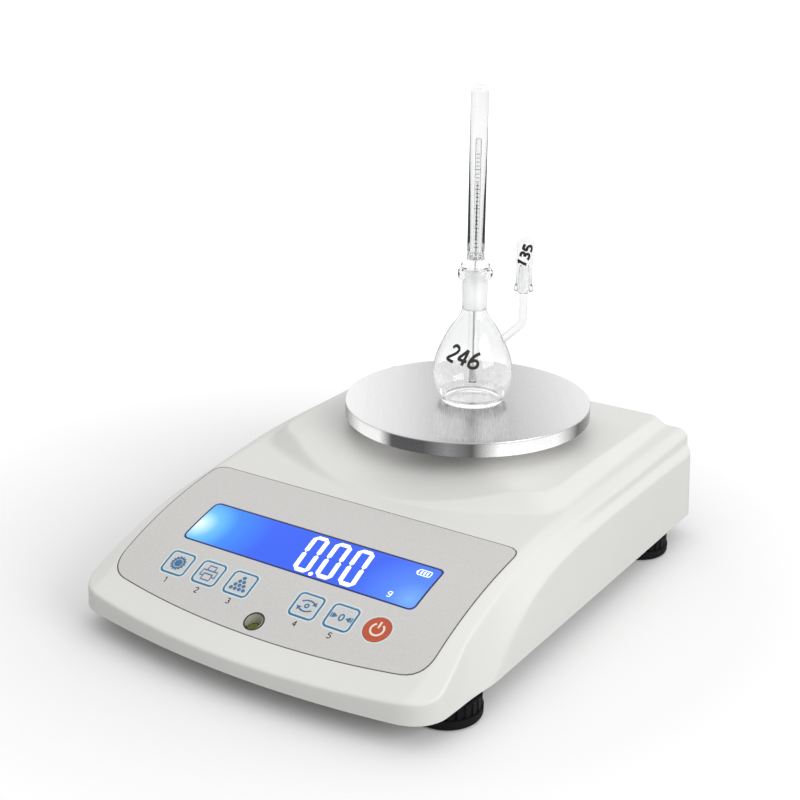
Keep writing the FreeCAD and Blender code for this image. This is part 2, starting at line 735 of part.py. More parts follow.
def make_feet():
    wheel_bottom = sole_height + wheel_gap
    wheel_top = wheel_bottom + wheel_height
    for name, (x, y) in foot_points.items():
        sole = cylinder(x, y, 0, sole_height, foot_radius)
        lower = [edge for edge in sole.Edges if edge.BoundBox.ZMax < 0.01]
        sole = sole.makeFillet(sole_round, lower)
        sole = sole.cut(cylinder(x, y, sole_height - 2.5, sole_height + 1, stud_radius + post_clearance))
        wheel = cylinder(x, y, wheel_bottom, wheel_top, wheel_radius)
        grips = []
        for i in range(grip_count):
            angle = 2 * math.pi * i / grip_count
            grips.append(cylinder(x + wheel_radius * math.cos(angle), y + wheel_radius * math.sin(angle),
                                  wheel_bottom - 1, wheel_top + 1, grip_radius))
        stud = cylinder(x, y, sole_height - 2.2, wheel_top + stud_length, stud_radius)
        nodes["foot_sole_" + name] = sole
        nodes["foot_wheel_" + name] = joined(wheel.cut(grips), stud)
    inserts = []
    for x, y in foot_points.values():
        ring = cylinder(x, y, body_bottom, body_bottom + insert_height, insert_radius)
        inserts.append(ring.cut(cylinder(x, y, 0, 40, stud_radius + thread_clearance)))
    nodes["foot_inserts"] = group(inserts)


def make_housing_screws():
    screws = [screw(x, y, body_bottom + 0.2, sleeve_top + 5) for x, y in housing_screw_points]
    nodes["housing_screws"] = group(screws)


def make_main_board():
    half_x, half_y = main_board_width / 2, main_board_length / 2
    top = main_board_bottom + board_thickness
    board = box(main_board_x - half_x, main_board_y - half_y, main_board_bottom, main_board_x + half_x,
                main_board_y + half_y, top)
    screws = []
    for x, y in board_screw_points:
        board = board.cut(screw_hole(x, y, main_board_bottom - 1, top + 1))
        screws.append(screw(x, y, top + screw_head_height, body_bottom + 2))
    nodes["main_board"] = board
    nodes["board_screws"] = group(screws)
    chips = [box(main_board_x - 7, main_board_y - 7, top, main_board_x + 7, main_board_y + 7, top + 1.6),
             box(main_board_x - 5, main_board_y - 38, top, main_board_x + 5, main_board_y - 24, top + 2.2),
             box(main_board_x - 16, main_board_y + 20, top, main_board_x - 6, main_board_y + 36, top + 6.0),
             cylinder(main_board_x + 12, main_board_y + 30, top, top + 11, 4.0),
             cylinder(main_board_x + 12, main_board_y + 18, top, top + 11, 4.0)]
    nodes["main_board_chips"] = group(chips)


# The back face at the height of the sockets, and how far back the screws beside the port reach
face_y = body_rear_y - side_draft * (socket_z - body_bottom)
rear_reach = face_y + socket_gap + port_screw_head


def make_sockets():
    back = Vector(0, 1, 0)
    inner_y = face_y - wall
    start = inner_y - jack_depth
    jack = box(jack_x - 7.5, start, socket_z - 7, jack_x + 7.5, inner_y - 0.5, socket_z + 7)
    jack = jack.fuse(Part.makeCylinder(jack_hole_radius - 0.2, face_y + 2.4 - inner_y, Vector(jack_x, inner_y - 0.6,
                                       socket_z), back))
    jack = jack.cut(Part.makeCylinder(jack_bore_radius, 20, Vector(jack_x, start + 3, socket_z), back))
    pin = Part.makeCylinder(jack_pin_radius, face_y - start - 2, Vector(jack_x, start + 1, socket_z), back)
    nodes["dc_jack"] = joined(jack, pin)
    nut = Part.makeCylinder(jack_nut_radius, jack_nut_thickness, Vector(jack_x, face_y + socket_gap, socket_z), back)
    nodes["dc_jack_nut"] = nut.cut(Part.makeCylinder(jack_hole_radius, 8, Vector(jack_x, face_y - 1, socket_z),
                                                     back))
    half_w, half_h = port_width / 2, port_height / 2
    shell_w, shell_h = port_shell_width / 2, port_shell_height / 2
    flange = box(port_x - half_w, inner_y - 1.9, socket_z - half_h, port_x + half_w, inner_y - 0.4,
                 socket_z + half_h)
    shell = box(port_x - shell_w, inner_y - port_depth, socket_z - shell_h, port_x + shell_w, face_y + 1.5,
                socket_z + shell_h)
    shell = shell.cut(box(port_x - shell_w + 0.8, face_y - 4, socket_z - shell_h + 0.8, port_x + shell_w - 0.8,
                          face_y + 3, socket_z + shell_h - 0.8))
    insert = box(port_x - shell_w + 1.3, face_y - 5, socket_z - shell_h + 1.3, port_x + shell_w - 1.3,
                 face_y + 1.2, socket_z + shell_h - 1.3)
    pin_pitch = 2.77
    holes = []
    for row, count in ((1.42, 5), (-1.42, 4)):
        for i in range(count):
            x = port_x + (i - (count - 1) / 2) * pin_pitch
            holes.append(Part.makeCylinder(0.55, 4, Vector(x, face_y - 2, socket_z + row), back))
    port = joined(flange, shell, insert).cut(holes)
    screws = []
    for side in (-1, 1):
        x = port_x + side * port_screw_spacing / 2
        port = port.cut(Part.makeCylinder(screw_radius + screw_clearance, 8, Vector(x, inner_y - 4, socket_z), back))
        head = Part.makeCylinder(2.6, port_screw_head, Vector(x, face_y + socket_gap, socket_z), back)
        shank = Part.makeCylinder(screw_radius, 8, Vector(x, face_y - 7.5, socket_z), back)
        screws.append(head.fuse(shank))
    nodes["serial_port"] = port
    nodes["port_screws"] = group(screws)


def turned(points):
    ring = Part.Face(Part.makePolygon([Vector(r, 0, h) for r, h in points + points[:1]]))
    return ring.revolve(Vector(0, 0, 0), Vector(0, 0, 1), 360)


# A body of revolution whose outside is a smooth line through the points, closed by straight steps to the axis
def turned_smooth(points, steps):
    curve = Part.BSplineCurve()
    curve.interpolate([Vector(r, 0, h) for r, h in points])
    corners = [Vector(r, 0, h) for r, h in steps]
    edges = [curve.toShape()]
    last = Vector(points[-1][0], 0, points[-1][1])
    for corner in corners:
        edges.append(Part.makeLine(last, corner))
        last = corner
    edges.append(Part.makeLine(last, Vector(points[0][0], 0, points[0][1])))
    return Part.Face(Part.Wire(edges)).revolve(Vector(0, 0, 0), Vector(0, 0, 1), 360)


def path_wire(points, bend):
    edges = []
    start = points[0]
    for i in range(1, len(points) - 1):
        corner = points[i]
        back, ahead = (points[i - 1] - corner), (points[i + 1] - corner)
        back.normalize()
        ahead.normalize()
        half = back.getAngle(ahead) / 2
        trim = bend / math.tan(half)
        bisector = back + ahead
        bisector.normalize()
        centre = corner + bisector * (bend / math.sin(half))
        enter, leave = corner + back * trim, corner + ahead * trim
        middle = centre - bisector * bend
        edges.append(Part.makeLine(start, enter))
        edges.append(Part.Arc(enter, middle, leave).toShape())
        start = leave
    edges.append(Part.makeLine(start, points[-1]))
    return Part.Wire(edges)


def tube(points, bend, radius):
    wire = path_wire(points, bend)
    direction = points[1] - points[0]
    ring = Part.Wire(Part.makeCircle(radius, points[0], direction))
    return Part.Solid(wire.makePipeShell([ring], True, False))


# Turns a piece of the bottle so that its side arm points its way, and stands it on the pan
def on_pan(shape, reach=0):
    turn = Rotation(Vector(0, 0, 1), arm_turn)
    placed = shape.copy()
    placed.Placement = Placement(Vector(bottle_x, pan_y, pan_top) + turn.multVec(Vector(reach, 0, 0)), turn)
    return placed


def make_bottle():
    joint_bottom = bottle_profile[-1][1]
    outside = turned_smooth(bottle_profile, [(bottle_joint_radius, bottle_joint_top),
                                             (bottle_collar_radius, bottle_joint_top + 1.5),
                                             (bottle_collar_radius, bottle_top), (0, bottle_top), (0, 0)])
    inner_points = [(r - bottle_wall, h + (bottle_wall + 0.3 if h < 1 else 0)) for r, h in bottle_profile[:-1]]
    cone_low = joint_bottom - 0.5
    top_cone = cone_top_radius + joint_clearance
    inner_points.append((cone_bottom_radius + joint_clearance, cone_low))
    inside = turned_smooth(inner_points, [(top_cone, bottle_top + 0.5), (0, bottle_top + 0.5),
                                          (0, inner_points[0][1])])
    arm_points = [Vector(arm_start_x, 0, arm_start_height), Vector(arm_offset, 0, arm_bend_height),
                  Vector(arm_offset, 0, arm_cone_bottom)]
    arm = tube(arm_points, arm_bend_radius, arm_radius)
    cone_part = Part.makeCone(arm_cone_radius, arm_tip_radius, arm_cone_top - arm_cone_bottom,
                              Vector(arm_offset, 0, arm_cone_bottom))
    bore = tube(arm_points, arm_bend_radius, arm_bore_radius)
    tip_bore = Part.makeCylinder(arm_bore_radius, arm_cone_top - arm_cone_bottom + 1,
                                 Vector(arm_offset, 0, arm_cone_bottom - 0.5))
    nodes["flask"] = on_pan(outside.fuse([arm, cone_part]).cut([inside, bore, tip_bore]))
    stopper = turned([(0, probe_bottom), (probe_radius - 0.9, probe_bottom), (probe_radius, probe_bottom + 1.5),
                      (probe_radius, cone_low - 3), (cone_bottom_radius, cone_low + 0.5),
                      (cone_top_radius, bottle_top + 0.3), (stopper_flange_radius - 1, bottle_top + 0.3),
                      (stopper_flange_radius, bottle_top + 1.2), (stopper_flange_radius - 1.2, stopper_top),
                      (stem_radius, stopper_top + 2.5), (stem_radius, stem_top - 3.2),
                      (stem_radius - 0.9, stem_top - 1.1), (stem_radius - 2.6, stem_top), (0, stem_top)])
    bulb_bottom = probe_bottom + 2
    bulb_top = probe_bottom + 9
    column = joined(cylinder(0, 0, bulb_bottom, bulb_top, probe_radius - 1.0),
                    cylinder(0, 0, bulb_top - 1, column_top, column_radius))
    nodes["thermometer_stopper"] = on_pan(stopper.cut(column))
    nodes["thermometer_column"] = on_pan(column)
    inner = arm_cone_radius + joint_clearance
    collar_top = cap_bottom + cap_collar_height
    cap = turned([(inner, cap_bottom), (cap_collar_radius, cap_bottom), (cap_collar_radius, collar_top),
                  (cap_radius, collar_top + 1), (cap_radius, cap_top - 3.4), (cap_radius - 1.1, cap_top - 1.1),
                  (cap_radius - 2.8, cap_top), (0, cap_top), (0, cap_top - cap_wall),
                  (inner - 2.2, cap_top - cap_wall), (inner, cap_top - 3.2)])
    nodes["side_arm_cap"] = on_pan(cap, arm_offset)


def make_wires():
    board_top = main_board_bottom + board_thickness
    cell_side = cell_half_width + 0.3
    cell_points = [Vector(cell_side, cell_front_y + 12, cell_bottom + 10),
                   Vector(cell_side + 24, cell_front_y + 12, cell_bottom + 10),
                   Vector(main_board_x - 12, cell_front_y + 30, cell_bottom + 10),
                   Vector(main_board_x - 12, cell_front_y + 30, board_top + 0.3)]
    nodes["load_cell_cable"] = tube(cell_points, wire_bend, wire_radius)
    side = battery_x + battery_width / 2 + 0.3
    high = battery_bottom + battery_height - 6
    battery_points = [Vector(side, battery_y - 30, high), Vector(side + 22, battery_y - 40, high),
                      Vector(0, -35, high), Vector(main_board_x - 12, -15, high),
                      Vector(main_board_x - 12, -15, board_top + 0.3)]
    nodes["battery_cable"] = tube(battery_points, wire_bend, wire_radius)
    under = on_panel(Part.Vertex(0, 0, -display_board_depth - board_thickness - 0.3), 50, window_y).Point
    display_points = [under, under + Vector(0, 6, -12), Vector(main_board_x, main_board_y - main_board_length / 2 + 12,
                      board_top + 12), Vector(main_board_x, main_board_y - main_board_length / 2 + 12,
                                              board_top + 0.3)]
    nodes["display_cable"] = tube(display_points, display_wire_bend, wire_radius)


make_upper_housing()
make_lower_housing()
make_battery()
make_panel()
make_level()
make_load_cell()
make_pan()
make_feet()
make_housing_screws()
make_main_board()
make_sockets()
make_bottle()
make_wires()

# The origin lies under the middle of the overall length
origin_y = (body_front_y + rear_reach) / 2
os.makedirs("parts", exist_ok=True)
for name, shape in nodes.items():
    shape.translate(Vector(0, -origin_y, 0))
    if not shape.isValid():
        print("not valid:", name)
    if len(shape.Solids) == 0:
        print("no solid:", name)
    shape.exportStep("parts/" + name + ".step")
    print(name, len(shape.Solids), round(shape.Volume, 1))
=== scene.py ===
import bpy
import bmesh
import math
import numpy as np
from mathutils import Matrix, Vector


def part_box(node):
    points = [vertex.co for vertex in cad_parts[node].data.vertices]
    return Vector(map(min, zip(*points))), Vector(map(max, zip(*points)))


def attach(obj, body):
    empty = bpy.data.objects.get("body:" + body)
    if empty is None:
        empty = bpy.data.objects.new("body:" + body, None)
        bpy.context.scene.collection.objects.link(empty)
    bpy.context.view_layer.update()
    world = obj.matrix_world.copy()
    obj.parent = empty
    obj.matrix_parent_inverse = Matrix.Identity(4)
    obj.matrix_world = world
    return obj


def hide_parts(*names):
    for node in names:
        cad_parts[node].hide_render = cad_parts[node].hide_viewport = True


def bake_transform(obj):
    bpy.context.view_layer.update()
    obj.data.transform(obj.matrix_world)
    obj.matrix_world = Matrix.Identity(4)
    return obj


# Benchtop density meter. Sizes below are in millimetres and turned into metres by mm.
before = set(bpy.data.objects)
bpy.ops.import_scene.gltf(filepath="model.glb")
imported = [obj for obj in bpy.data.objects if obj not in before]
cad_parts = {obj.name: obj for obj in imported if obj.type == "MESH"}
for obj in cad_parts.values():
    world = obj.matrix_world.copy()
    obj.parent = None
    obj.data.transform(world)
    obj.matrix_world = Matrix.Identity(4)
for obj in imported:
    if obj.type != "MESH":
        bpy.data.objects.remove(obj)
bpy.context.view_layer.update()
mm = 0.001
print("frame loaded:", len(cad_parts), "nodes")

for leftover in ("Cube", "Light", "Camera"):
    if leftover in bpy.data.objects:
        bpy.data.objects.remove(bpy.data.objects[leftover])
scene = bpy.context.scene
scene.view_settings.view_transform = "Standard"

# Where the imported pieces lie; every place below is worked out from them
housingLow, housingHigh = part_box("upper_housing")
panLow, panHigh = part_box("weighing_pan")
stemLow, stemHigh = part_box("thermometer_stopper")
capLow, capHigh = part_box("side_arm_cap")


def between(low, high):
    return (low + high) / 2 / mm


body = {
    "halfWidth": housingHigh.x / mm,
    "frontY": housingLow.y / mm,
    "rearY": housingHigh.y / mm,
    "bottom": housingLow.z / mm,
    "deckTop": housingHigh.z / mm,
    "panY": between(panLow.y, panHigh.y),
    "panTop": panHigh.z / mm,
    "bottleX": between(stemLow.x, stemHigh.x),
    "bottleY": between(stemLow.y, stemHigh.y),
    "capX": between(capLow.x, capHigh.x),
    "capY": between(capLow.y, capHigh.y),
}
front = body["frontY"]

# The housing's skin, as distances behind the front edge. A section gives where the flat top ends, the edge of
# the falling strip and its drop, the foot below that edge and its height, and the crease's height at the wall
skin = {
    "topLine": [(-14, 14.4), (0, 19.3), (15, 24.2), (32, 32.7), (47.5, 39.6), (76, 48.3), (101, 52.8), (121, 55),
                (146, 56.8), (196, 58.4), (246, 59.3), (286, 60.2)],
    "sections": [(-14, 88.4, 96.5, 2, 99.3, 0, -45), (23, 88.4, 96.1, 2, 99.6, 11, -14),
                 (40, 88.4, 95.6, 2, 99.4, 16, 2), (56, 88.4, 95.1, 2, 98.3, 27.5, 13.6),
                 (80, 88.4, 93.7, 2, 97.6, 39, 30.5), (98, 88.4, 92.5, 2, 97, 44.8, 39),
                 (116, 88.4, 92.7, 2, 97.1, 47.9, 43.7), (136, 88.6, 94.6, 2.2, 97.3, 50, 46),
                 (166, 90, 96.8, 2.6, 97.5, 50.7, 47.3), (202, 91.4, 97.3, 3, 97.5, 50.8, 47.6),
                 (246, 92.7, 97.3, 3, 97.5, 50.9, 47.4), (286, 93.6, 97.3, 3, 97.5, 51, 46.6)],
    "creaseHalfWidth": 101.6,
    "frontHalfWidth": 100.0,
    "sideStart": 28.0,      # the sides widen from the front's width over sideRun behind this
    "sideRun": 6.0,
    "draft": 0.035,
    "frontBow": 0.0011,
    "frontCorner": 17.5,
    "rearCorner": 7.0,
    "stripBlend": 1.6,
    "footBlend": 0.7,
    "creaseBlend": 0.9,
    "cornerBlend": 0.6,
    "edgeRound": 1.3,
    "wall": 2.2,
}
deck = {
    "halfWidth": 80.0,
    "frontY": 124.3,
    "bow": 0.0032,
    "corner": 13.0,
    "rearCorner": 11.0,
    "rimBlend": 1.0,
    "footBlend": 1.6,
    "scoopY": 114.5,
    "scoopHeight": 54.6,
    "scoopSlope": 0.17,
    "scoopRadius": 380.0,
    "scoopBlend": 0.8,
}


# A natural cubic spline through given points, run on chord length, returned as a fine table of points
def lineTable(points, fine=1200):
    p = np.array(points, float)
    t = np.r_[0, np.cumsum(np.hypot(*np.diff(p, axis=0).T))]
    h = np.diff(t)
    n = len(t)
    chord = np.diff(p, axis=0) / h[:, None]
    system = np.eye(n)
    right = np.zeros((n, 2))
    inner = np.arange(1, n - 1)
    system[inner, inner - 1] = h[:-1]
    system[inner, inner] = 2 * (h[:-1] + h[1:])
    system[inner, inner + 1] = h[1:]
    right[inner] = 6 * (chord[1:] - chord[:-1])
    bend = np.linalg.solve(system, right)
    s = np.linspace(0, t[-1], fine)
    i = np.clip(np.searchsorted(t, s) - 1, 0, n - 2)
    a = (t[i + 1] - s)[:, None]
    b = (s - t[i])[:, None]
    w = h[i][:, None]
    return ((bend[i] * a ** 3 + bend[i + 1] * b ** 3) / (6 * w)
            + (p[i] / w - bend[i] * w / 6) * a + (p[i + 1] / w - bend[i + 1] * w / 6) * b)


topTable = lineTable(skin["topLine"])
flatTable, edgeTable, dropTable, footTable, footHeightTable, creaseTable = [
    lineTable([(row[0], row[column]) for row in skin["sections"]]) for column in range(1, 7)]


def along(table, y):
    return np.interp(np.asarray(y) - front, table[:, 0], table[:, 1])


# Smooth greater and smaller of two surfaces: the plain one, and where they are less than k apart, a parabola
# between them
def softMax(a, b, k):
    h = np.clip(0.5 + 0.5 * (a - b) / k, 0, 1)
    return b + (a - b) * h + k * h * (1 - h)


def softMin(a, b, k):
    return -softMax(-a, -b, k)


# Height of the housing seen from above: the panel and ledge, less the strip's drop times the share of the way
# across it, joined to the deck, whose sides fall one down for one out and whose front is hollowed to the panel
def topHeight(x, y):
    x = np.abs(np.asarray(x, float))
    y = np.asarray(y, float)
    d = y - front
    zero = np.zeros_like(x)
    flat = along(flatTable, y)
    strip = softMax(x - flat, zero, skin["stripBlend"]) / (along(edgeTable, y) - flat)
    ledge = along(topTable, y) - along(dropTable, y) * strip
    ahead = d - deck["frontY"] - deck["bow"] * x ** 2
    inside = softMin(ahead, deck["halfWidth"] - x, deck["corner"])
    inside = softMin(inside, body["rearY"] - y, deck["rearCorner"])
    height = body["deckTop"] + softMin(inside, zero, deck["rimBlend"])
    hollow = deck["scoopHeight"] + deck["scoopSlope"] * (d - deck["scoopY"]) + x ** 2 / (2 * deck["scoopRadius"])
    return softMax(ledge, softMin(height, hollow, deck["scoopBlend"]), deck["footBlend"])


# How far out the side lies at a height: the smaller of the leaning wall and of the greater of two straight
# lines, a steep one from the strip's edge to its foot and a flatter one from the foot to the crease
def sideReach(y, z):
    edge, foot, footHeight = along(edgeTable, y), along(footTable, y), along(footHeightTable, y)
    edgeHeight = along(topTable, y) - along(dropTable, y)
    upper = edge + (foot - edge) * (edgeHeight - z) / (edgeHeight - footHeight)
    lower = foot + (skin["creaseHalfWidth"] - foot) * (footHeight - z) / (footHeight - along(creaseTable, y))
    wall = body["halfWidth"] - skin["draft"] * (z - body["bottom"])
    return softMin(wall, softMax(upper, lower, skin["footBlend"]), skin["creaseBlend"])


# A quadratic curve from a to c that leaves and ends towards b
def bezierPoints(a, b, c, count):
    t = np.linspace(0, 1, count, endpoint=False)[:, None]
    return (1 - t) ** 2 * np.array(a) + 2 * t * (1 - t) * np.array(b) + t ** 2 * np.array(c)


# Outline seen from above, as eight quadratic curves: bowed front, rounded corners, straight sides and back, from
# the middle of the left front corner round. The marks are where the corners' middles lie in it
def planOutline(halfWidth, frontY, rearY, bow, frontCorner, rearCorner, count=300):
    x0 = halfWidth - frontCorner
    y0 = frontY + bow * x0 ** 2
    y1 = y0 + 2 * bow * x0 * frontCorner
    y2 = y1 + frontCorner
    y3 = rearY - rearCorner
    x3 = halfWidth - rearCorner
    sideY = (y2 + y3) / 2
    points = [(-halfWidth, y2), (-halfWidth, y1), (-x0, y0), (0, frontY - bow * x0 ** 2),
              (x0, y0), (halfWidth, y1), (halfWidth, y2), (halfWidth, sideY),
              (halfWidth, y3), (halfWidth, rearY), (x3, rearY), (0, rearY),
              (-x3, rearY), (-halfWidth, rearY), (-halfWidth, y3), (-halfWidth, sideY)]
    ends = points[2::2] + points[:1]
    ring = np.concatenate([bezierPoints(*curve, count) for curve in zip(points[::2], points[1::2], ends)])
    return np.roll(ring, -count // 2, axis=0), [2 * count * k for k in range(5)]


def steps(marks, counts):
    runs = [np.linspace(marks[i], marks[i + 1], n, endpoint=False) for i, n in enumerate(counts)]
    return np.r_[np.concatenate(runs), marks[-1]]


# The outline shared into four sides between its corner middles, with points at the given shares of each side
def sidedOutline(ring, marks, u, v):
    closed = np.vstack([ring, ring[:1]])
    sides = []
    for first, last, share in zip(marks, marks[1:], (u, v, 1 - u[::-1], 1 - v[::-1])):
        piece = closed[first:last + 1]
        run = np.r_[0, np.cumsum(np.hypot(*np.diff(piece, axis=0).T))]
        want = share * run[-1]
        sides.append(np.c_[np.interp(want, run, piece[:, 0]), np.interp(want, run, piece[:, 1])])
    return sides


# Coons patch: the two ruled surfaces between opposite sides, added, less the plane blend of the four corners
def coonsGrid(sides, u, v):
    low, right, high, left = sides[0], sides[1], sides[2][::-1], sides[3][::-1]
    u = u[None, :, None]
    v = v[:, None, None]
    ruled = (1 - v) * low[None] + v * high[None] + (1 - u) * left[:, None] + u * right[:, None]
    corners = ((1 - u) * (1 - v) * low[0] + u * (1 - v) * low[-1] + (1 - u) * v * high[0] + u * v * high[-1])
    return ruled - corners


def ringOf(sides):
    return np.vstack([side[:-1] for side in sides])


# Unit normals of a ring that turns left: the step between its neighbours, turned right by a quarter
def outward(ring):
    step = np.roll(ring, -1, axis=0) - np.roll(ring, 1, axis=0)
    normal = np.c_[step[:, 1], -step[:, 0]]
    return normal / np.linalg.norm(normal, axis=1)[:, None]


# Quads over a grid of points. wrap joins its last column to its first, and loop its last row to its first
def gridFaces(rows, columns, wrap=False, loop=False):
    i = np.arange(rows if loop else rows - 1)[:, None]
    j = np.arange(columns if wrap else columns - 1)[None, :]
    row, nextRow, nextColumn = i * columns, (i + 1) % rows * columns, (j + 1) % columns
    return np.stack([row + j, row + nextColumn, nextRow + nextColumn, nextRow + j], axis=-1).reshape(-1, 4)


def tidyMesh(mesh, fixNormals):
    work = bmesh.new()
    work.from_mesh(mesh)
    bmesh.ops.remove_doubles(work, verts=work.verts, dist=1e-7)
    bmesh.ops.dissolve_degenerate(work, edges=work.edges, dist=1e-8)
    if fixNormals:
        bmesh.ops.recalc_face_normals(work, faces=work.faces)
    bmesh.ops.delete(work, geom=[edge for edge in work.edges if not edge.link_faces], context="EDGES")
    work.to_mesh(mesh)
    work.free()


def meshObject(name, points, faces, fixNormals=False):
    mesh = bpy.data.meshes.new(name)
    mesh.from_pydata((np.asarray(points, np.float64) * mm).tolist(), [], [tuple(map(int, face)) for face in faces])
    mesh.update()
    tidyMesh(mesh, fixNormals)
    made = bpy.data.objects.new(name, mesh)
    scene.collection.objects.link(made)
    return made


def bakeModifiers(piece):
    graph = bpy.context.evaluated_depsgraph_get()
    baked = bpy.data.meshes.new_from_object(piece.evaluated_get(graph))
    piece.modifiers.clear()
    piece.data = baked


# A closed solid with the ring as its outline, running from low to high along Z, or along Y for the back wall
def prism(ring, low, high, axis="z"):
    ring = np.asarray(ring, float)
    n = len(ring)
    ends = []
    for value in (low, high):
        far = np.full(n, float(value))
        ends.append(np.c_[ring, far] if axis == "z" else np.c_[ring[:, 0], far, ring[:, 1]])
    sides = gridFaces(2, n, wrap=True)
    i = np.arange(n)
    return np.vstack(ends), [tuple(i[::-1]), tuple(i + n)] + [tuple(face) for face in sides]


# Takes closed solids out of a piece
def cutAway(piece, solids):
    points, faces, start = [], [], 0
    for solidPoints, solidFaces in solids:
        points.append(solidPoints)
        faces.extend(tuple(k + start for k in face) for face in solidFaces)
        start += len(solidPoints)
    tool = meshObject("cutter", np.vstack(points), faces, fixNormals=True)
    modifier = piece.modifiers.new("cut", "BOOLEAN")
    modifier.object = tool
    modifier.operation = "DIFFERENCE"
    modifier.solver = "MANIFOLD"
    bakeModifiers(piece)
    bpy.data.objects.remove(tool)


def dress(piece, materialName, sharpAngle=40):
    piece.data.shade_smooth()
    piece.data.set_sharp_from_angle(angle=math.radians(sharpAngle))
    piece.data.materials.clear()
    piece.data.materials.append(material(materialName))


def finishPiece(piece, bodyName, materialName, sharpAngle=40):
    dress(piece, materialName, sharpAngle)
    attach(piece, bodyName)
    return piece


# Points on a circle's arc between two angles in degrees, and on a whole circle
def arc(x, y, radius, start, end, count=24):
    angle = np.radians(np.linspace(start, end, count))
    return np.c_[x + radius * np.cos(angle), y + radius * np.sin(angle)]


def circle(x, y, radius, count=48):
    angle = np.linspace(0, 2 * math.pi, count, endpoint=False)
    return np.c_[x + radius * np.cos(angle), y + radius * np.sin(angle)]


# A rectangle about the origin with rounded corners: a quarter circle at each, then a straight run to the next
def roundedRing(halfX, halfY, corner, perCorner=8, perSide=10):
    corners = []
    for quarter, (sx, sy) in enumerate(((1, 1), (-1, 1), (-1, -1), (1, -1))):
        turn = math.pi / 2 * quarter + np.linspace(0, math.pi / 2, perCorner)
        corners.append(np.c_[sx * (halfX - corner) + corner * np.cos(turn),
                             sy * (halfY - corner) + corner * np.sin(turn)])
    share = np.linspace(0, 1, perSide + 1)[1:-1, None]
    ring = []
    for now, following in zip(corners, corners[1:] + corners[:1]):
        ring += [now, now[-1] + (following[0] - now[-1]) * share]
    return np.vstack(ring)


# Materials. Each maker gets the node tree, the shader and the object coordinates
madeMaterials = {}


def material(name):
    if name not in madeMaterials:
        made = bpy.data.materials.new(name)
        made.use_nodes = True
        tree = made.node_tree
        place = tree.nodes.new("ShaderNodeTexCoord").outputs["Object"]
        materialMakers[name](tree, tree.nodes["Principled BSDF"], place)
        madeMaterials[name] = made
    return madeMaterials[name]


# Fills a node's inputs: a socket is linked, and anything else is the input's own value
def fill(tree, node, inputs):
    for key, value in inputs.items():
        if isinstance(value, bpy.types.NodeSocket):
            tree.links.new(value, node.inputs[key])
        else:
            node.inputs[key].default_value = value


def addNode(tree, kind, inputs, **settings):
    node = tree.nodes.new("ShaderNode" + kind)
    for key, value in settings.items():
        setattr(node, key, value)
    fill(tree, node, inputs)
    return node.outputs


def noise(tree, place, scale, detail=3.0, roughness=0.5, stretch=None):
    if stretch:
        place = addNode(tree, "Mapping", {"Scale": stretch, "Vector": place})["Vector"]
    return addNode(tree, "TexNoise", {"Scale": scale, "Detail": detail, "Roughness": roughness,
                                      "Vector": place})["Fac"]


def ramp(tree, value, stops):
    node = tree.nodes.new("ShaderNodeValToRGB")
    elements = node.color_ramp.elements
    for element, (position, colour) in zip(elements, (stops[0], stops[-1])):
        element.position = position
        element.color = (*colour, 1)
    for position, colour in stops[1:-1]:
        elements.new(position).color = (*colour, 1)
    fill(tree, node, {"Fac": value})
    return node.outputs["Color"]


def spread(tree, value, low, high, fromLow=0.0, fromHigh=1.0):
    return addNode(tree, "MapRange", {"From Min": fromLow, "From Max": fromHigh, "To Min": low, "To Max": high,
                                      "Value": value})["Result"]


def mixColours(tree, share, first, second, blend="MIX"):
    return addNode(tree, "Mix", {"Factor": share, "A": first, "B": second}, data_type="RGBA",
                   blend_type=blend)["Result"]


def calculate(tree, operation, first, second):
    return addNode(tree, "Math", {0: first, 1: second}, operation=operation)["Value"]


# The greatest of several values, for instance of several kinds of ray
def greatest(tree, values):
    best = values[0]
    for value in values[1:]:
        best = calculate(tree, "MAXIMUM", best, value)
    return best


def bump(tree, shader, value, strength, distance):
    normal = addNode(tree, "Bump", {"Strength": strength, "Distance": distance, "Height": value})["Normal"]
    tree.links.new(normal, shader.inputs["Normal"])


# Moulded plastic, paint and print: fine grain between a dark and a plain colour, with a matching bump
def speckled(base, dark, scale, rough, bumpStrength=0.15, bumpDepth=0.00003, contrast=0.5, gloss=0.4):
    def maker(tree, shader, place):
        grain = noise(tree, place, scale, 2.0, 0.6)
        low, high = 0.5 - contrast / 4, 0.5 + contrast / 4
        fill(tree, shader, {
            "Base Color": ramp(tree, grain, [(low, dark), (high, base)]),
            "Roughness": spread(tree, noise(tree, place, scale / 6), rough - 0.05, rough + 0.05),
            "Specular IOR Level": gloss})
        bump(tree, shader, grain, bumpStrength, bumpDepth)
    return maker


moulding = {
    "tones": [(0.35, (0.75, 0.748, 0.725)), (0.65, (0.77, 0.768, 0.745))],
    "cloudScale": 14,
    "grainScale": 2600,
    "rough": (0.34, 0.46),
    "gloss": 0.45,
}


def housingMaker(tree, shader, place):
    broad = noise(tree, place, moulding["cloudScale"], 2.0, 0.5)
    fine = noise(tree, place, moulding["grainScale"], 2.0, 0.6)
    fill(tree, shader, {
        "Base Color": ramp(tree, broad, moulding["tones"]), "Roughness": spread(tree, fine, *moulding["rough"]),
        "Specular IOR Level": moulding["gloss"]})
    bump(tree, shader, fine, 0.1, 0.00003)


def brushedMaker(colour, rough, stretch, depth=0.00001, contrast=0.93):
    def maker(tree, shader, place):
        lines = noise(tree, place, 30, 3.0, 0.6, stretch)
        dark = tuple(c * contrast for c in colour)
        fill(tree, shader, {
            "Base Color": ramp(tree, lines, [(0.3, dark), (0.7, colour)]),
            "Roughness": spread(tree, lines, rough - 0.05, rough + 0.06), "Metallic": 1.0})
        bump(tree, shader, lines, 0.08, depth)
    return maker
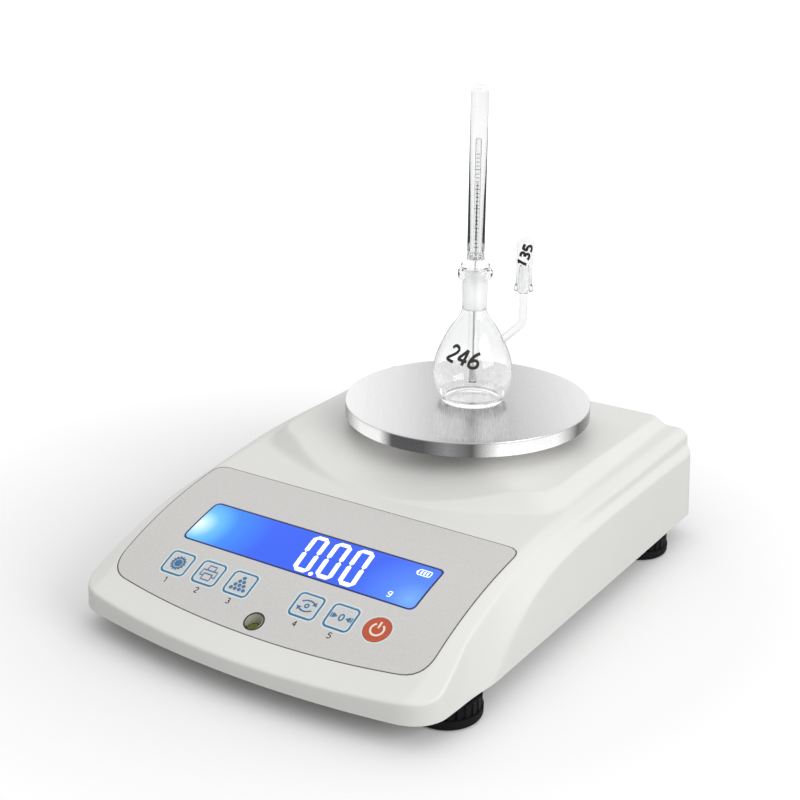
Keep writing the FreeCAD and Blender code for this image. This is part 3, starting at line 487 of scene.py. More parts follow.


# Stainless pan: a satin top, brushed at an angle, with painted reflection bands across it that leave it darker
# along its middle, and a side band with painted light and dark reflection patches round it and a faint painted
# glow. Bands and patches are shares of the way across or round, with their greys; one angle turns both the
# brushing and the painted bands
panSteel = {
    "brushAndReflectionAngle": 33.0,
    "reflectionBands": [(0.0, 0.94), (0.22, 0.76), (0.4, 0.54), (0.52, 0.46), (0.66, 0.54), (0.85, 0.72), (1.0, 0.86)],
    "reflectionPatches": [(0.0, 0.28), (0.035, 0.28), (0.085, 1.0), (0.125, 1.0), (0.145, 0.1), (0.19, 0.1), (0.22, 0.28),
                (0.25, 0.1), (0.285, 1.0), (0.365, 1.0), (0.41, 0.1), (0.48, 0.28), (0.57, 1.0), (0.66, 0.1),
                (0.74, 0.28), (0.84, 1.0), (0.93, 0.1), (1.0, 0.28)],
    "lines": [(0.3, 0.965), (0.7, 1.0)],
    "lineScale": 900,
    "lineStretch": (1.0, 0.012, 1.0),
    "edge": (1.3, 0.6),     # the top's look fades out between these depths
    "rough": (0.22, 0.32),
    "sideMetal": 0.6,
    "paintedSideGlow": 0.22,
}


def panMaker(tree, shader, place):
    def greys(value, stops):
        return ramp(tree, value, [(at, (grey, grey * 0.995, grey)) for at, grey in stops])
    centreY = body["panY"] * mm
    radius = (panHigh.x - panLow.x) / 2
    turned = addNode(tree, "VectorRotate", {"Center": (0, centreY, 0), "Vector": place,
                                            "Angle": -math.radians(panSteel["brushAndReflectionAngle"])},
                     rotation_type="Z_AXIS")["Vector"]
    split = addNode(tree, "SeparateXYZ", {"Vector": turned})
    lines = noise(tree, turned, panSteel["lineScale"], 3.0, 0.6, panSteel["lineStretch"])
    # The top's greys are painted reflection bands, darker along the middle, multiplied by the real brushing lines
    top = mixColours(tree, 1.0, greys(spread(tree, split["X"], 0.0, 1.0, -radius, radius), panSteel["reflectionBands"]),
                     greys(lines, panSteel["lines"]), "MULTIPLY")
    angle = calculate(tree, "ARCTAN2", calculate(tree, "SUBTRACT", split["Y"], centreY), split["X"])
    # The side band's greys are painted light and dark reflection patches round it
    side = greys(spread(tree, angle, 0.0, 1.0, -math.pi, math.pi), panSteel["reflectionPatches"])
    low, high = [(body["panTop"] - depth) * mm for depth in panSteel["edge"]]
    onTop = spread(tree, split["Z"], 0.0, 1.0, low, high)
    colour = mixColours(tree, onTop, side, top)
    # The side band glows faintly: painted light
    fill(tree, shader, {
        "Base Color": colour, "Emission Color": colour, "Roughness": spread(tree, lines, *panSteel["rough"]),
        "Metallic": spread(tree, onTop, panSteel["sideMetal"], 1.0),
        "Emission Strength": spread(tree, onTop, panSteel["paintedSideGlow"], 0.0)})
    bump(tree, shader, lines, 0.03, 0.000006)


# Clear glass, greyer where it is seen edge on: painted shade at its edges, with a faint painted glow. The flask
# has a mottled, milky-looking painted glow that fades out upwards over the given rise, and the frosted glass a
# white painted glow over its real frosting
glass = {
    "tintAndEdgeShade": [(0.0, (0.995, 1.0, 0.997)), (0.55, (0.965, 0.97, 0.97)), (1.0, (0.28, 0.29, 0.295))],
    "edgeShadeBlend": 0.35,
    "refraction": 1.4,
    "glow": 0.003,
    "waveScale": 55,
    "paintedGlowRise": (14, 27),
    "paintedGlowTop": 0.12,
    "paintedGlowRange": (0.02, 0.075),
    "vialColour": (0.9, 0.95, 0.8, 1),
    "vialRefraction": 1.08,
    "frostColour": (0.99, 0.995, 0.995, 1),
    "frostRefraction": 1.2,
    "frostGlow": 0.045,
    "frostClear": 0.8,
}
white = (1, 1, 1, 1)


def glassMaker(tree, shader, place):
    grazing = addNode(tree, "LayerWeight", {"Blend": glass["edgeShadeBlend"]})["Facing"]
    waves = noise(tree, place, glass["waveScale"], 1.0, 0.4)
    # The colour darkens to grey at grazing angles, painted shade at the glass's edges; the emission is a faint
    # painted glow
    fill(tree, shader, {
        "Base Color": ramp(tree, grazing, glass["tintAndEdgeShade"]), "Roughness": spread(tree, waves, 0.0, 0.02),
        "Transmission Weight": 1.0, "IOR": glass["refraction"], "Emission Color": white,
        "Emission Strength": glass["glow"]})
    bump(tree, shader, waves, 0.05, 0.0002)


def flaskMaker(tree, shader, place):
    glassMaker(tree, shader, place)
    height = addNode(tree, "SeparateXYZ", {"Vector": place})["Z"]
    # A mottled painted glow on the lower flask, fading out upwards
    low = spread(tree, height, 1.0, glass["paintedGlowTop"], *[(body["panTop"] + z) * mm for z in glass["paintedGlowRise"]])
    mottledGlow = spread(tree, noise(tree, place, 420, 3.0, 0.7), *glass["paintedGlowRange"], 0.35, 0.65)
    fill(tree, shader, {"Emission Strength": calculate(tree, "MULTIPLY", low, mottledGlow)})


def vialMaker(tree, shader, place):
    fill(tree, shader, {
        "Base Color": glass["vialColour"], "Transmission Weight": 1.0, "IOR": glass["vialRefraction"],
        "Roughness": spread(tree, noise(tree, place, 300, 1.0, 0.4), 0.0, 0.05)})


def frostedMaker(tree, shader, place):
    grain = noise(tree, place, 4000, 2.0, 0.6)
    # The white emission is painted glow over the real frosting
    fill(tree, shader, {
        "Base Color": glass["frostColour"], "Emission Color": white, "Emission Strength": glass["frostGlow"],
        "Transmission Weight": glass["frostClear"], "IOR": glass["frostRefraction"],
        "Roughness": spread(tree, grain, 0.3, 0.5)})
    bump(tree, shader, grain, 0.3, 0.00005)


# The lit display: bright where the lamps at its two ends shine in, deep blue between. A lamp has its place across
# and behind the front edge, how far it reaches, and its colours over that way
lcd = {
    "left": (-64.0, 59.5, 132.0, [(0.0, (1.0, 1.0, 1.0)), (0.03, (0.6, 0.92, 1.0)), (0.075, (0.16, 0.56, 1.0)),
                                  (0.15, (0.055, 0.27, 0.98)), (0.3, (0.045, 0.13, 0.9)),
                                  (0.6, (0.045, 0.12, 0.86)), (1.0, (0.06, 0.15, 0.92))]),
    "right": (61.0, 54.0, 30.0, [(0.0, (0.14, 0.3, 0.1)), (0.35, (0.045, 0.12, 0.08)), (1.0, (0.0, 0.0, 0.0))]),
    "unlit": (0.01, 0.02, 0.06, 1),
    "gloss": 0.12,
}


def lcdMaker(tree, shader, place):
    def glow(x, d, reach, stops):
        lamp = Vector((x, front + d, float(along(topTable, front + d)))) * mm
        away = addNode(tree, "VectorMath", {0: place, 1: lamp}, operation="DISTANCE")["Value"]
        return ramp(tree, spread(tree, away, 0.0, 1.0, 0.0, reach * mm), stops)
    fill(tree, shader, {
        "Base Color": lcd["unlit"], "Specular IOR Level": lcd["gloss"], "Emission Strength": 1.0,
        "Emission Color": mixColours(tree, 1.0, glow(*lcd["left"]), glow(*lcd["right"]), "ADD"),
        "Roughness": spread(tree, noise(tree, place, 900, 2.0, 0.5), 0.3, 0.4)})


def plainGlow(colour, strength, fleck=0.04):
    def maker(tree, shader, place):
        dim = tuple(c * (1 - fleck) for c in colour)
        mixed = ramp(tree, noise(tree, place, 900, 2.0, 0.5), [(0.3, dim), (0.7, colour)])
        fill(tree, shader, {"Base Color": mixed, "Emission Color": mixed, "Emission Strength": strength,
                            "Roughness": 0.4})
    return maker


# Speckled finishes: plain and dark colour, grain scale, roughness, bump strength and depth, contrast, gloss
speckledFinishes = {
    "film": ((0.68, 0.668, 0.65), (0.59, 0.58, 0.565), 1500, 0.5, 0.1, 0.00002, 0.9),
    # The dark ring round the film's edge is painted shadow
    "paintedShadowGap": ((0.13, 0.13, 0.125), (0.09, 0.09, 0.09), 600, 0.6),
    "keyPad": ((0.66, 0.66, 0.65), (0.6, 0.605, 0.6), 1500, 0.5, 0.1, 0.00002),
    "keyLine": ((0.06, 0.19, 0.36), (0.045, 0.16, 0.31), 900, 0.5),
    "keyHalo": ((0.68, 0.81, 0.84), (0.63, 0.77, 0.8), 900, 0.5),
    "powerKey": ((0.56, 0.09, 0.035), (0.5, 0.08, 0.03), 900, 0.45),
    "powerSign": ((0.9, 0.8, 0.7), (0.86, 0.76, 0.66), 900, 0.45),
    "windowEdge": ((0.012, 0.016, 0.09), (0.01, 0.012, 0.07), 900, 0.3),
    "lcd": ((0.03, 0.06, 0.3), (0.02, 0.04, 0.22), 900, 0.2),
    "caption": ((0.035, 0.035, 0.04), (0.02, 0.02, 0.024), 900, 0.5),
    "levelCup": ((0.42, 0.42, 0.33), (0.36, 0.36, 0.28), 700, 0.45),
    "levelRim": ((0.025, 0.025, 0.022), (0.016, 0.016, 0.015), 800, 0.35),
    "blackPlastic": ((0.011, 0.011, 0.013), (0.006, 0.006, 0.007), 1400, 0.4, 0.2, 0.00005, 0.5, 0.14),
    "rubber": ((0.012, 0.012, 0.013), (0.007, 0.007, 0.008), 1800, 0.62, 0.35, 0.00006, 0.5, 0.12),
    "tray": ((0.62, 0.62, 0.6), (0.58, 0.58, 0.56), 1500, 0.5, 0.2, 0.00004),
    "board": ((0.02, 0.16, 0.06), (0.012, 0.11, 0.04), 500, 0.4),
    "battery": ((0.04, 0.04, 0.045), (0.03, 0.03, 0.033), 700, 0.5),
    "ink": ((0.02, 0.02, 0.018), (0.012, 0.012, 0.01), 900, 0.45),
    "scale": ((0.05, 0.05, 0.05), (0.03, 0.03, 0.03), 900, 0.5),
    "column": ((0.74, 0.74, 0.75), (0.66, 0.66, 0.67), 900, 0.3),
}
materialMakers = {name: speckled(*values) for name, values in speckledFinishes.items()}
materialMakers.update({
    "housing": housingMaker,
    "display": lcdMaker,
    "lightGuide": plainGlow((0.2, 0.4, 1.0), 0.3),
    "digit": plainGlow((0.86, 0.94, 1.0), 0.75),
    # The level's liquid and bubble glow though they are no lamp: painted light, the bubble a bright painted
    # highlight
    "levelLiquidPaintedGlow": plainGlow((0.3, 0.32, 0.13), 0.3, 0.2),
    "levelBubblePaintedHighlight": plainGlow((0.85, 0.92, 0.6), 0.5, 0.1),
    "levelGlass": vialMaker,
    "pan": panMaker,
    "post": brushedMaker((0.74, 0.74, 0.745), 0.2, (1.0, 1.0, 40.0)),
    "machined": brushedMaker((0.66, 0.66, 0.67), 0.32, (1.0, 30.0, 1.0)),
    "zinc": brushedMaker((0.7, 0.7, 0.72), 0.25, (10.0, 10.0, 10.0)),
    "brass": brushedMaker((0.72, 0.52, 0.22), 0.3, (10.0, 10.0, 30.0)),
    "glass": glassMaker,
    "flaskGlass": flaskMaker,
    "frosted": frostedMaker,
})

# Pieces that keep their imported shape, by the material they get. The keys have their place along the row
keyPlaces = {"key_set": -3, "key_print": -2, "key_enter": -1, "key_mode": 1, "key_zero": 2}
footCorners = ["front_left", "front_right", "rear_left", "rear_right"]
packedPieces = {
    "tray": ["lower_housing", "battery_door"],
    "battery": ["battery"],
    "zinc": ["battery_door_screws", "housing_screws", "panel_screws", "board_screws", "base_frame_screws",
             "load_cell_screws", "overload_stop", "bracket_screws", "port_screws", "dc_jack_nut", "serial_port"],
    "machined": ["base_frame", "cell_spacer", "load_cell", "bracket_spacer", "pan_bracket", "pan_hub"],
    "post": ["pan_post"],
    "brass": ["foot_inserts"],
    "board": ["display_board", "key_board", "main_board"],
    "blackPlastic": ["dc_jack", "main_board_chips", "key_switches", "buzzer"]
                    + ["foot_wheel_" + corner for corner in footCorners],
    "rubber": ["load_cell_cable", "battery_cable", "display_cable"]
              + ["foot_sole_" + corner for corner in footCorners],
    "lcd": ["lcd_glass"],
    "lightGuide": ["backlight"],
    "display": ["display_window"],
    "levelCup": ["level_cup"],
    "levelGlass": ["level_vial"],
    "levelLiquidPaintedGlow": ["level_liquid"],
    "levelBubblePaintedHighlight": ["level_bubble"],
    "powerKey": ["key_power"],
    "keyPad": list(keyPlaces),
    "column": ["thermometer_column"],
}


def dressNodes():
    for materialName, names in packedPieces.items():
        for name in names:
            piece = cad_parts[name]
            piece.data.materials.clear()
            piece.data.materials.append(material(materialName))
    print("packed pieces dressed:", sum(map(len, packedPieces.values())))


# Shares of the way across and along at which the top's grid changes its spacing, and the steps between them. The
# walls have rows of their own just above and below the foot of the strip's edge and the crease
housingGrid = {
    "across": ([0, 0.13, 0.87, 1], [34, 60, 34]),
    "along": ([0, 0.36, 0.53, 1], [38, 56, 48]),
    "edge": 5,
    "wall": [4, 2, 2, 3, 2, 2, 13],
    "nearFoot": 1.4,
    "nearCrease": 1.8,
    "least": 0.2,
    "crestRounds": 4,
}
openings = {
    "spare": 5.0,
    "postRadius": 14.0,
    "behind": 9.0,
    "beyond": 4.0,
    "jackRadius": 5.6,
    "port": (8.8, 4.5, 1.0),
    "portScrewRadius": 1.6,
    "portScrewReach": 12.5,
}


# The housing as one skin: a Coons patch lifted to topHeight, an edge rounded by a quadratic curve from the top
# over the crest to the wall, and walls whose rows are the plan outline, no further out than sideReach
def makeHousing():
    u, v = steps(*housingGrid["across"]), steps(*housingGrid["along"])
    rise = body["deckTop"] - body["bottom"]
    rings = []
    for lean in (0, skin["draft"] * rise):
        ring, marks = planOutline(skin["frontHalfWidth"] - lean, front + lean, body["rearY"] - lean,
                                  skin["frontBow"], skin["frontCorner"], skin["rearCorner"])
        rings.append(ringOf(sidedOutline(ring, marks, u, v)))
    lowRing, highRing = rings
    wider = body["halfWidth"] / skin["frontHalfWidth"]

    def wallAt(z, inset=0):
        place = lowRing + (highRing - lowRing) * ((z - body["bottom"]) / rise)[:, None]
        x, y = (place - outward(place) * inset).T
        behind = np.clip((y - front - skin["sideStart"]) / skin["sideRun"], 0, 1)
        outer = np.abs(x) * (1 + (wider - 1) * behind)
        return np.c_[np.sign(x) * softMin(outer, sideReach(y, z) - inset, skin["cornerBlend"]), y]

    crest = topHeight(*highRing.T)
    for _ in range(housingGrid["crestRounds"]):     # the crest's outline depends on its height
        edge = wallAt(crest)
        crest = topHeight(*edge.T)
    rim = wallAt(crest, skin["edgeRound"])
    upper = np.c_[rim, topHeight(*rim.T)]
    wallTop = crest - skin["edgeRound"]
    corner = np.c_[edge, crest]
    lower = np.c_[wallAt(wallTop), wallTop]
    rows = [upper]
    for t in np.linspace(0, 1, housingGrid["edge"] + 1)[1:]:
        rows.append((1 - t) ** 2 * upper + 2 * t * (1 - t) * corner + t ** 2 * lower)
    stations = [wallTop]
    for line, near in ((footHeightTable, housingGrid["nearFoot"]), (creaseTable, housingGrid["nearCrease"])):
        stations += [along(line, edge[:, 1]) + step for step in (near, 0, -near)]
    least = housingGrid["least"]
    for i in range(1, len(stations)):
        stations[i] = np.minimum(stations[i], stations[i - 1] - least)
        stations[i] = np.maximum(stations[i], body["bottom"] + least * (len(stations) - i))
    stations.append(np.full(len(edge), body["bottom"]))
    for high, low, count in zip(stations, stations[1:], housingGrid["wall"]):
        for t in np.linspace(0, 1, count + 1)[1:]:
            z = high * (1 - t) + low * t
            rows.append(np.c_[wallAt(z), z])
    sides = []
    start = 0
    loop = np.vstack([rim, rim[:1]])
    for share in (u, v, u, v):
        sides.append(loop[start:start + len(share)])
        start += len(share) - 1
    plan = coonsGrid(sides, u, v)
    patch = np.dstack([plan, topHeight(plan[..., 0], plan[..., 1])]).reshape(-1, 3)
    patchFaces = gridFaces(*plan.shape[:2])
    wallFaces = gridFaces(len(rows), len(rim), wrap=True)[:, ::-1] + len(patch)
    piece = meshObject("housing_shell", np.vstack([patch] + rows), np.vstack([patchFaces, wallFaces]))
    thickness = piece.modifiers.new("thickness", "SOLIDIFY")
    thickness.thickness = skin["wall"] * mm
    thickness.offset = -1
    bakeModifiers(piece)
    cutAway(piece, housingOpenings())
    finishPiece(piece, "root", "housing", 50)
    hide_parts("upper_housing")
    print("housing skin:", len(piece.data.polygons), "faces")


# The space under the film, the hole for the pan's post, and the two sockets in the back wall
def housingOpenings():
    ring, _ = filmOutline(-film["overlap"])
    low, high = body["bottom"] - openings["spare"], body["deckTop"] + openings["spare"]
    post = circle(0, body["panY"], openings["postRadius"], 72)
    jackLow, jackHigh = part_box("dc_jack_nut")
    portLow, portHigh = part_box("port_screws")
    x, z = between(jackLow.x, jackHigh.x), between(jackLow.z, jackHigh.z)
    portX = between(portLow.x, portHigh.x)
    through = [circle(x, z, openings["jackRadius"]), roundedRing(*openings["port"]) + np.array([portX, z])]
    for side in (-1, 1):
        screwX = portX + side * openings["portScrewReach"]
        through.append(circle(screwX, z, openings["portScrewRadius"], 20))
    back = (body["rearY"] - openings["behind"], body["rearY"] + openings["beyond"])
    upright = [prism(ring[::20], low, high), prism(post, low, high)]
    return upright + [prism(hole, *back, axis="y") for hole in through]


# The front film, with what is let into it; places are distances behind the front edge, and gap is round each hole
film = {
    "halfWidth": 88.0,
    "frontY": 14.9,
    "rearY": 104.1,
    "bow": 0.001,
    "frontCorner": 11.0,
    "rearCorner": 7.0,
    "rise": 0.08,
    "sink": 0.42,
    "gap": 0.15,
    # The dark ring round the film's edge: painted shadow standing in for the shade in the gap there
    "paintedShadowGap": 0.5,
    "paintedShadowGapRise": 0.03,
    "paintedShadowGapUnder": 0.6,
    "overlap": 1.4,
    "grid": (61, 41),
}
window = {"halfWidth": 66.1, "frontY": 48.9, "rearY": 76.0, "corner": 3.0, "border": 0.85, "rise": 0.03}
level = {"y": 21.5, "radius": 4.95, "rim": 0.75, "under": 0.1}
keys = {
    "y": 35.55,
    "pitch": 18.85,
    "halfWidth": 7.0,
    "halfLength": 6.7,
    "corner": 2.6,
    "powerPlace": 3,
    "powerRadius": 6.6,
    "powerHalo": 0.5,
    "line": 0.85,
    "halo": 0.65,
    "printRise": 0.05,
    "haloRise": 0.03,
    "aroundRise": 0.02,
    "lineInset": 0.05,
    "aroundOut": 0.1,
    "powerOut": 0.4,
    "captionY": 26.4,
    "captionHeight": 2.9,
    "captionLine": 0.5,
}
sunk = -0.1     # marks reach this far into what they lie on
windowMiddle = front + (window["frontY"] + window["rearY"]) / 2
windowHalf = (window["rearY"] - window["frontY"]) / 2


def filmOutline(grow):
    return planOutline(film["halfWidth"] + grow, front + film["frontY"] - grow, front + film["rearY"] + grow,
                       film["bow"], film["frontCorner"], film["rearCorner"])


# A thin sheet that follows the panel inside an outline: a Coons patch, lifted to the panel's height plus high, and
# again plus low, with a skirt between the two
def panelSheet(name, grow, low, high, bodyName, materialName, holes):
    ring, marks = filmOutline(grow)
    u, v = [np.linspace(0, 1, count) for count in film["grid"]]
    plan = coonsGrid(sidedOutline(ring, marks, u, v), u, v)
    surface = along(topTable, plan[..., 1])
    top, bottom = [np.dstack([plan, surface + height]).reshape(-1, 3) for height in (high, low)]
    faces = gridFaces(*plan.shape[:2])
    size = len(top)
    index = np.arange(size).reshape(plan.shape[:2])
    border = np.r_[index[0, :-1], index[:-1, -1], index[-1, :0:-1], index[:0:-1, 0]]
    following = np.roll(border, -1)
    skirt = np.stack([border + size, following + size, following, border], axis=-1)
    piece = meshObject(name, np.vstack([top, bottom]), np.vstack([faces, faces[:, ::-1] + size, skirt]))
    cutAway(piece, holes)
    return finishPiece(piece, bodyName, materialName)


# The cosine of the panel's slope at y: level distance over sloping distance
def slopeCosine(y):
    step = 1.0
    rise = along(topTable, y + step) - along(topTable, y - step)
    return 2 * step / math.hypot(2 * step, float(rise))


# A ring drawn on the slope, seen in plan
def planRing(ring, x, y):
    return np.asarray(ring) * np.array([1, slopeCosine(y)]) + np.array([x, y])


def keyRing(grow):
    return roundedRing(keys["halfWidth"] + grow, keys["halfLength"] + grow, keys["corner"] + grow)


def makeFilm():
    gap = film["gap"]
    keyY = front + keys["y"]
    glazed = roundedRing(window["halfWidth"] + gap, windowHalf + gap, window["corner"])
    rings = [glazed + np.array([0, windowMiddle]),
             planRing(circle(0, 0, level["radius"] + gap), 0, front + level["y"])]
    rings += [planRing(keyRing(gap), place * keys["pitch"], keyY) for place in keyPlaces.values()]
    power = circle(0, 0, keys["powerRadius"] + gap)
    rings.append(planRing(power, keys["powerPlace"] * keys["pitch"], keyY))
    low, high = body["bottom"], body["deckTop"] + openings["spare"]
    holes = [prism(ring, low, high) for ring in rings]
    sheet = panelSheet("panel_overlay", 0, -film["sink"], film["rise"], "root", "film", holes)
    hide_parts("panel_film")
    # A dark ring laid round the film's edge: painted shadow for the gap along that edge
    inner, _ = filmOutline(-film["paintedShadowGapUnder"])
    paintedShadowGap = panelSheet("panel_seam", film["paintedShadowGap"], -film["sink"], film["paintedShadowGapRise"], "root", "paintedShadowGap",
                      [prism(inner[::20], low, high)])
    print("film and its seam made")


# Flat marks. A mark collects strips and plates drawn in a plane, then lays them on a surface as thin solids
class Mark:
    def __init__(self):
        self.flat = []
        self.faces = []

    def add(self, ring, faces):
        start = len(self.flat)
        self.flat.extend(map(tuple, ring))
        self.faces.extend([tuple(k + start for k in face) for face in faces])

    # Takes another mark in, moved
    def take(self, other, dx, dy):
        self.add([(u + dx, v + dy) for u, v in other.flat], other.faces)

    # A line along a path, of one width or of a width for each of its points: half the width to both sides,
    # at right angles to the step between each point's neighbours
    def line(self, path, width, closed=False):
        path = np.asarray(path, float)
        if closed:
            step = np.roll(path, -1, axis=0) - np.roll(path, 1, axis=0)
        else:
            step = np.gradient(path, axis=0)
        normal = np.c_[-step[:, 1], step[:, 0]] / np.linalg.norm(step, axis=1)[:, None]
        half = np.broadcast_to(np.asarray(width, float) / 2, len(path))[:, None]
        n = len(path)
        self.add(np.vstack([path + normal * half, path - normal * half]), gridFaces(2, n, wrap=closed))

    def plate(self, ring):
        self.add(ring, [range(len(ring))])

    # Turns the flat faces into thin closed solids on a surface given by place(u, v, height)
    def lay(self, name, place, low, high, bodyName, materialName, slotName):
        u, v = np.array(self.flat, float).T
        n = len(u)
        points = np.vstack([place(u, v, high), place(u, v, low)])
        faces = []
        seen = {}
        for face in self.faces:
            faces += [face, tuple(k + n for k in reversed(face))]
            seen.update(dict.fromkeys(zip(face, face[1:] + face[:1])))
        faces += [(b, a, a + n, b + n) for a, b in seen if (b, a) not in seen]
        piece = meshObject(name, points, faces, fixNormals=True)
        finishPiece(piece, bodyName, materialName)
        return piece


# The place of a mark on the panel: u across, v up the slope, height straight up
def onPanel(x, y):
    cosine = slopeCosine(y)

    def place(u, v, height):
        planY = y + v * cosine
        return np.c_[x + u, planY, along(topTable, planY) + height]
    return place


# The place of a mark on a round wall: u runs round it from the way it faces, v up from its middle, and height is
# added to the radius that the profile has there
def onRound(x, y, bottom, profile, middle, facing, perTurn):
    radii, heights = np.array(profile, float).T

    def place(u, v, height):
        h = middle + v
        r = np.interp(h, heights, radii) + height
        angle = math.radians(facing) + u / perTurn
        return np.c_[x + r * np.cos(angle), y + r * np.sin(angle), bottom + h]
    return place


# Rounds a path's corners by cutting them twice, for figures that look written: each step gives its points at a
# quarter and three quarters
def softened(path, rounds=2):
    path = np.asarray(path, float)
    for _ in range(rounds):
        a, b = path[:-1], path[1:]
        middle = np.stack([a * 0.75 + b * 0.25, a * 0.25 + b * 0.75], axis=1).reshape(-1, 2)
        path = np.vstack([path[:1], middle, path[-1:]])
    return path


# Plain figures in a box 0.6 wide and 1 high
figureWidth = 0.6
figures = {
    "1": [[(0.12, 0.78), (0.36, 1), (0.36, 0.9), (0.36, 0)]],
    "2": [[(0.02, 0.76), (0.1, 0.95), (0.3, 1), (0.54, 0.9), (0.55, 0.66), (0.3, 0.36), (0, 0.02), (0.3, 0),
           (0.6, 0)]],
    "3": [[(0.02, 0.9), (0.28, 1), (0.55, 0.88), (0.5, 0.62), (0.22, 0.53), (0.55, 0.44), (0.6, 0.16), (0.3, 0),
           (0, 0.1)]],
    "4": [[(0.44, 0), (0.44, 0.5), (0.44, 1)], [(0.42, 0.98), (0.2, 0.64), (0, 0.3), (0.3, 0.3), (0.62, 0.3)]],
    "5": [[(0.56, 1), (0.3, 1), (0.08, 1), (0.05, 0.8), (0.03, 0.56), (0.3, 0.64), (0.58, 0.5), (0.58, 0.2),
           (0.32, 0), (0, 0.08)]],
    "6": [[(0.5, 0.98), (0.2, 0.8), (0.02, 0.4), (0.06, 0.08), (0.32, 0), (0.58, 0.12), (0.56, 0.42),
           (0.34, 0.54), (0.06, 0.38)]],
}


# Figures in a row about the origin, leaning by lean per height and turned together
def writeFigures(mark, text, height, width, gap=0.85, lean=0.0, turn=0.0):
    turning = np.array([[math.cos(turn), math.sin(turn)], [-math.sin(turn), math.cos(turn)]])
    start = -(gap * (len(text) - 1) + figureWidth) / 2
    for i, letter in enumerate(text):
        for path in figures[letter]:
            path = softened(path)
            path[:, 0] += start + i * gap + lean * (path[:, 1] - 0.5)
            path[:, 1] -= 0.5
            mark.line(path * height @ turning, width)


# The key signs' own sizes, about the key's middle
signs = {
    "gearHub": 2.15, "gearRing": 3.05, "gearRingLine": 1.0, "teeth": 14, "tooth": (3.4, 3.7, 4.05),
    "toothLine": 0.85,
    "printer": [([(-2.0, 1.2), (-2.0, 4.1), (2.0, 4.1), (2.0, 1.2)], 0.7),
                ([(-2.6, -1.9), (-4.2, -1.9), (-4.2, 1.4), (4.2, 1.4), (4.2, -1.9), (2.6, -1.9)], 0.75),
                ([(-2.5, -0.6), (0, -0.6), (2.5, -0.6)], 0.7),
                ([(-2.4, -0.6), (-2.4, -4.0), (2.4, -4.0), (2.4, -0.6)], 0.7)],
    "dotRows": 4, "dot": 1.0, "dotPitch": (2.35, 2.15), "dotTop": 3.35,
    "arrowSpread": 0.62,
    "cycleArc": (0, -2.6, 5.6, 130, 50, 18), "cycleLine": 0.8, "cycleTip": 1.4, "cycleHead": 2.2,
    "cycleRing": 0.95, "cycleRingLine": 0.7,
    "nought": (1.05, 1.65), "noughtLine": 0.75, "noughtTurn": 6.283, "noughtTip": 2.1, "noughtHead": 2.3,
    "bars": [(4.55, 1.1), (5.45, 1.4)], "barLine": 0.6,
    "powerArc": (0, 0, 3.15, 123, 417, 40), "powerBar": [(0, 0.7), (0, 2.2), (0, 4.3)], "powerLine": 0.95,
}


def gearSign(mark):
    mark.plate(circle(0, 0, signs["gearHub"], 28))
    mark.line(circle(0, 0, signs["gearRing"], 40), signs["gearRingLine"], closed=True)
    for i in range(signs["teeth"]):
        angle = 2 * math.pi * i / signs["teeth"]
        way = np.array([math.cos(angle), math.sin(angle)])
        mark.line([way * out for out in signs["tooth"]], signs["toothLine"])


def printerSign(mark):
    for path, width in signs["printer"]:
        mark.line(path, width)


def pyramidSign(mark):
    across, down = signs["dotPitch"]
    for row in range(signs["dotRows"]):
        for i in range(row + 1):
            mark.plate(circle((i - row / 2) * across, signs["dotTop"] - row * down, signs["dot"], 16))


def arrowHead(mark, tip, way, size):
    way = np.array(way, float) / np.linalg.norm(way)
    aside = np.array([-way[1], way[0]]) * size * signs["arrowSpread"]
    tip = np.array(tip, float)
    mark.plate([tip, tip - way * size + aside, tip - way * size - aside])


def cycleSign(mark):
    for side in (1, -1):
        path = side * arc(*signs["cycleArc"])
        mark.line(path, signs["cycleLine"])
        way = path[-1] - path[-2]
        arrowHead(mark, path[-1] + way / np.linalg.norm(way) * signs["cycleTip"], way, signs["cycleHead"])
    mark.line(circle(0, 0, signs["cycleRing"], 20), signs["cycleRingLine"], closed=True)


def zeroSign(mark):
    turn = np.linspace(0, signs["noughtTurn"], 28, endpoint=False)
    wide, tall = signs["nought"]
    mark.line(np.c_[wide * np.cos(turn), tall * np.sin(turn)], signs["noughtLine"], closed=True)
    for side in (-1, 1):
        arrowHead(mark, (side * signs["noughtTip"], 0), (-side, 0), signs["noughtHead"])
        for out, half in signs["bars"]:
            mark.line([(side * out, -half), (side * out, 0), (side * out, half)], signs["barLine"])


keySigns = {"key_set": gearSign, "key_print": printerSign, "key_enter": pyramidSign, "key_mode": cycleSign,
            "key_zero": zeroSign}


# A ring of print drawn as one closed line
def ringMark(ring, width):
    mark = Mark()
    mark.line(ring, width, closed=True)
    return mark


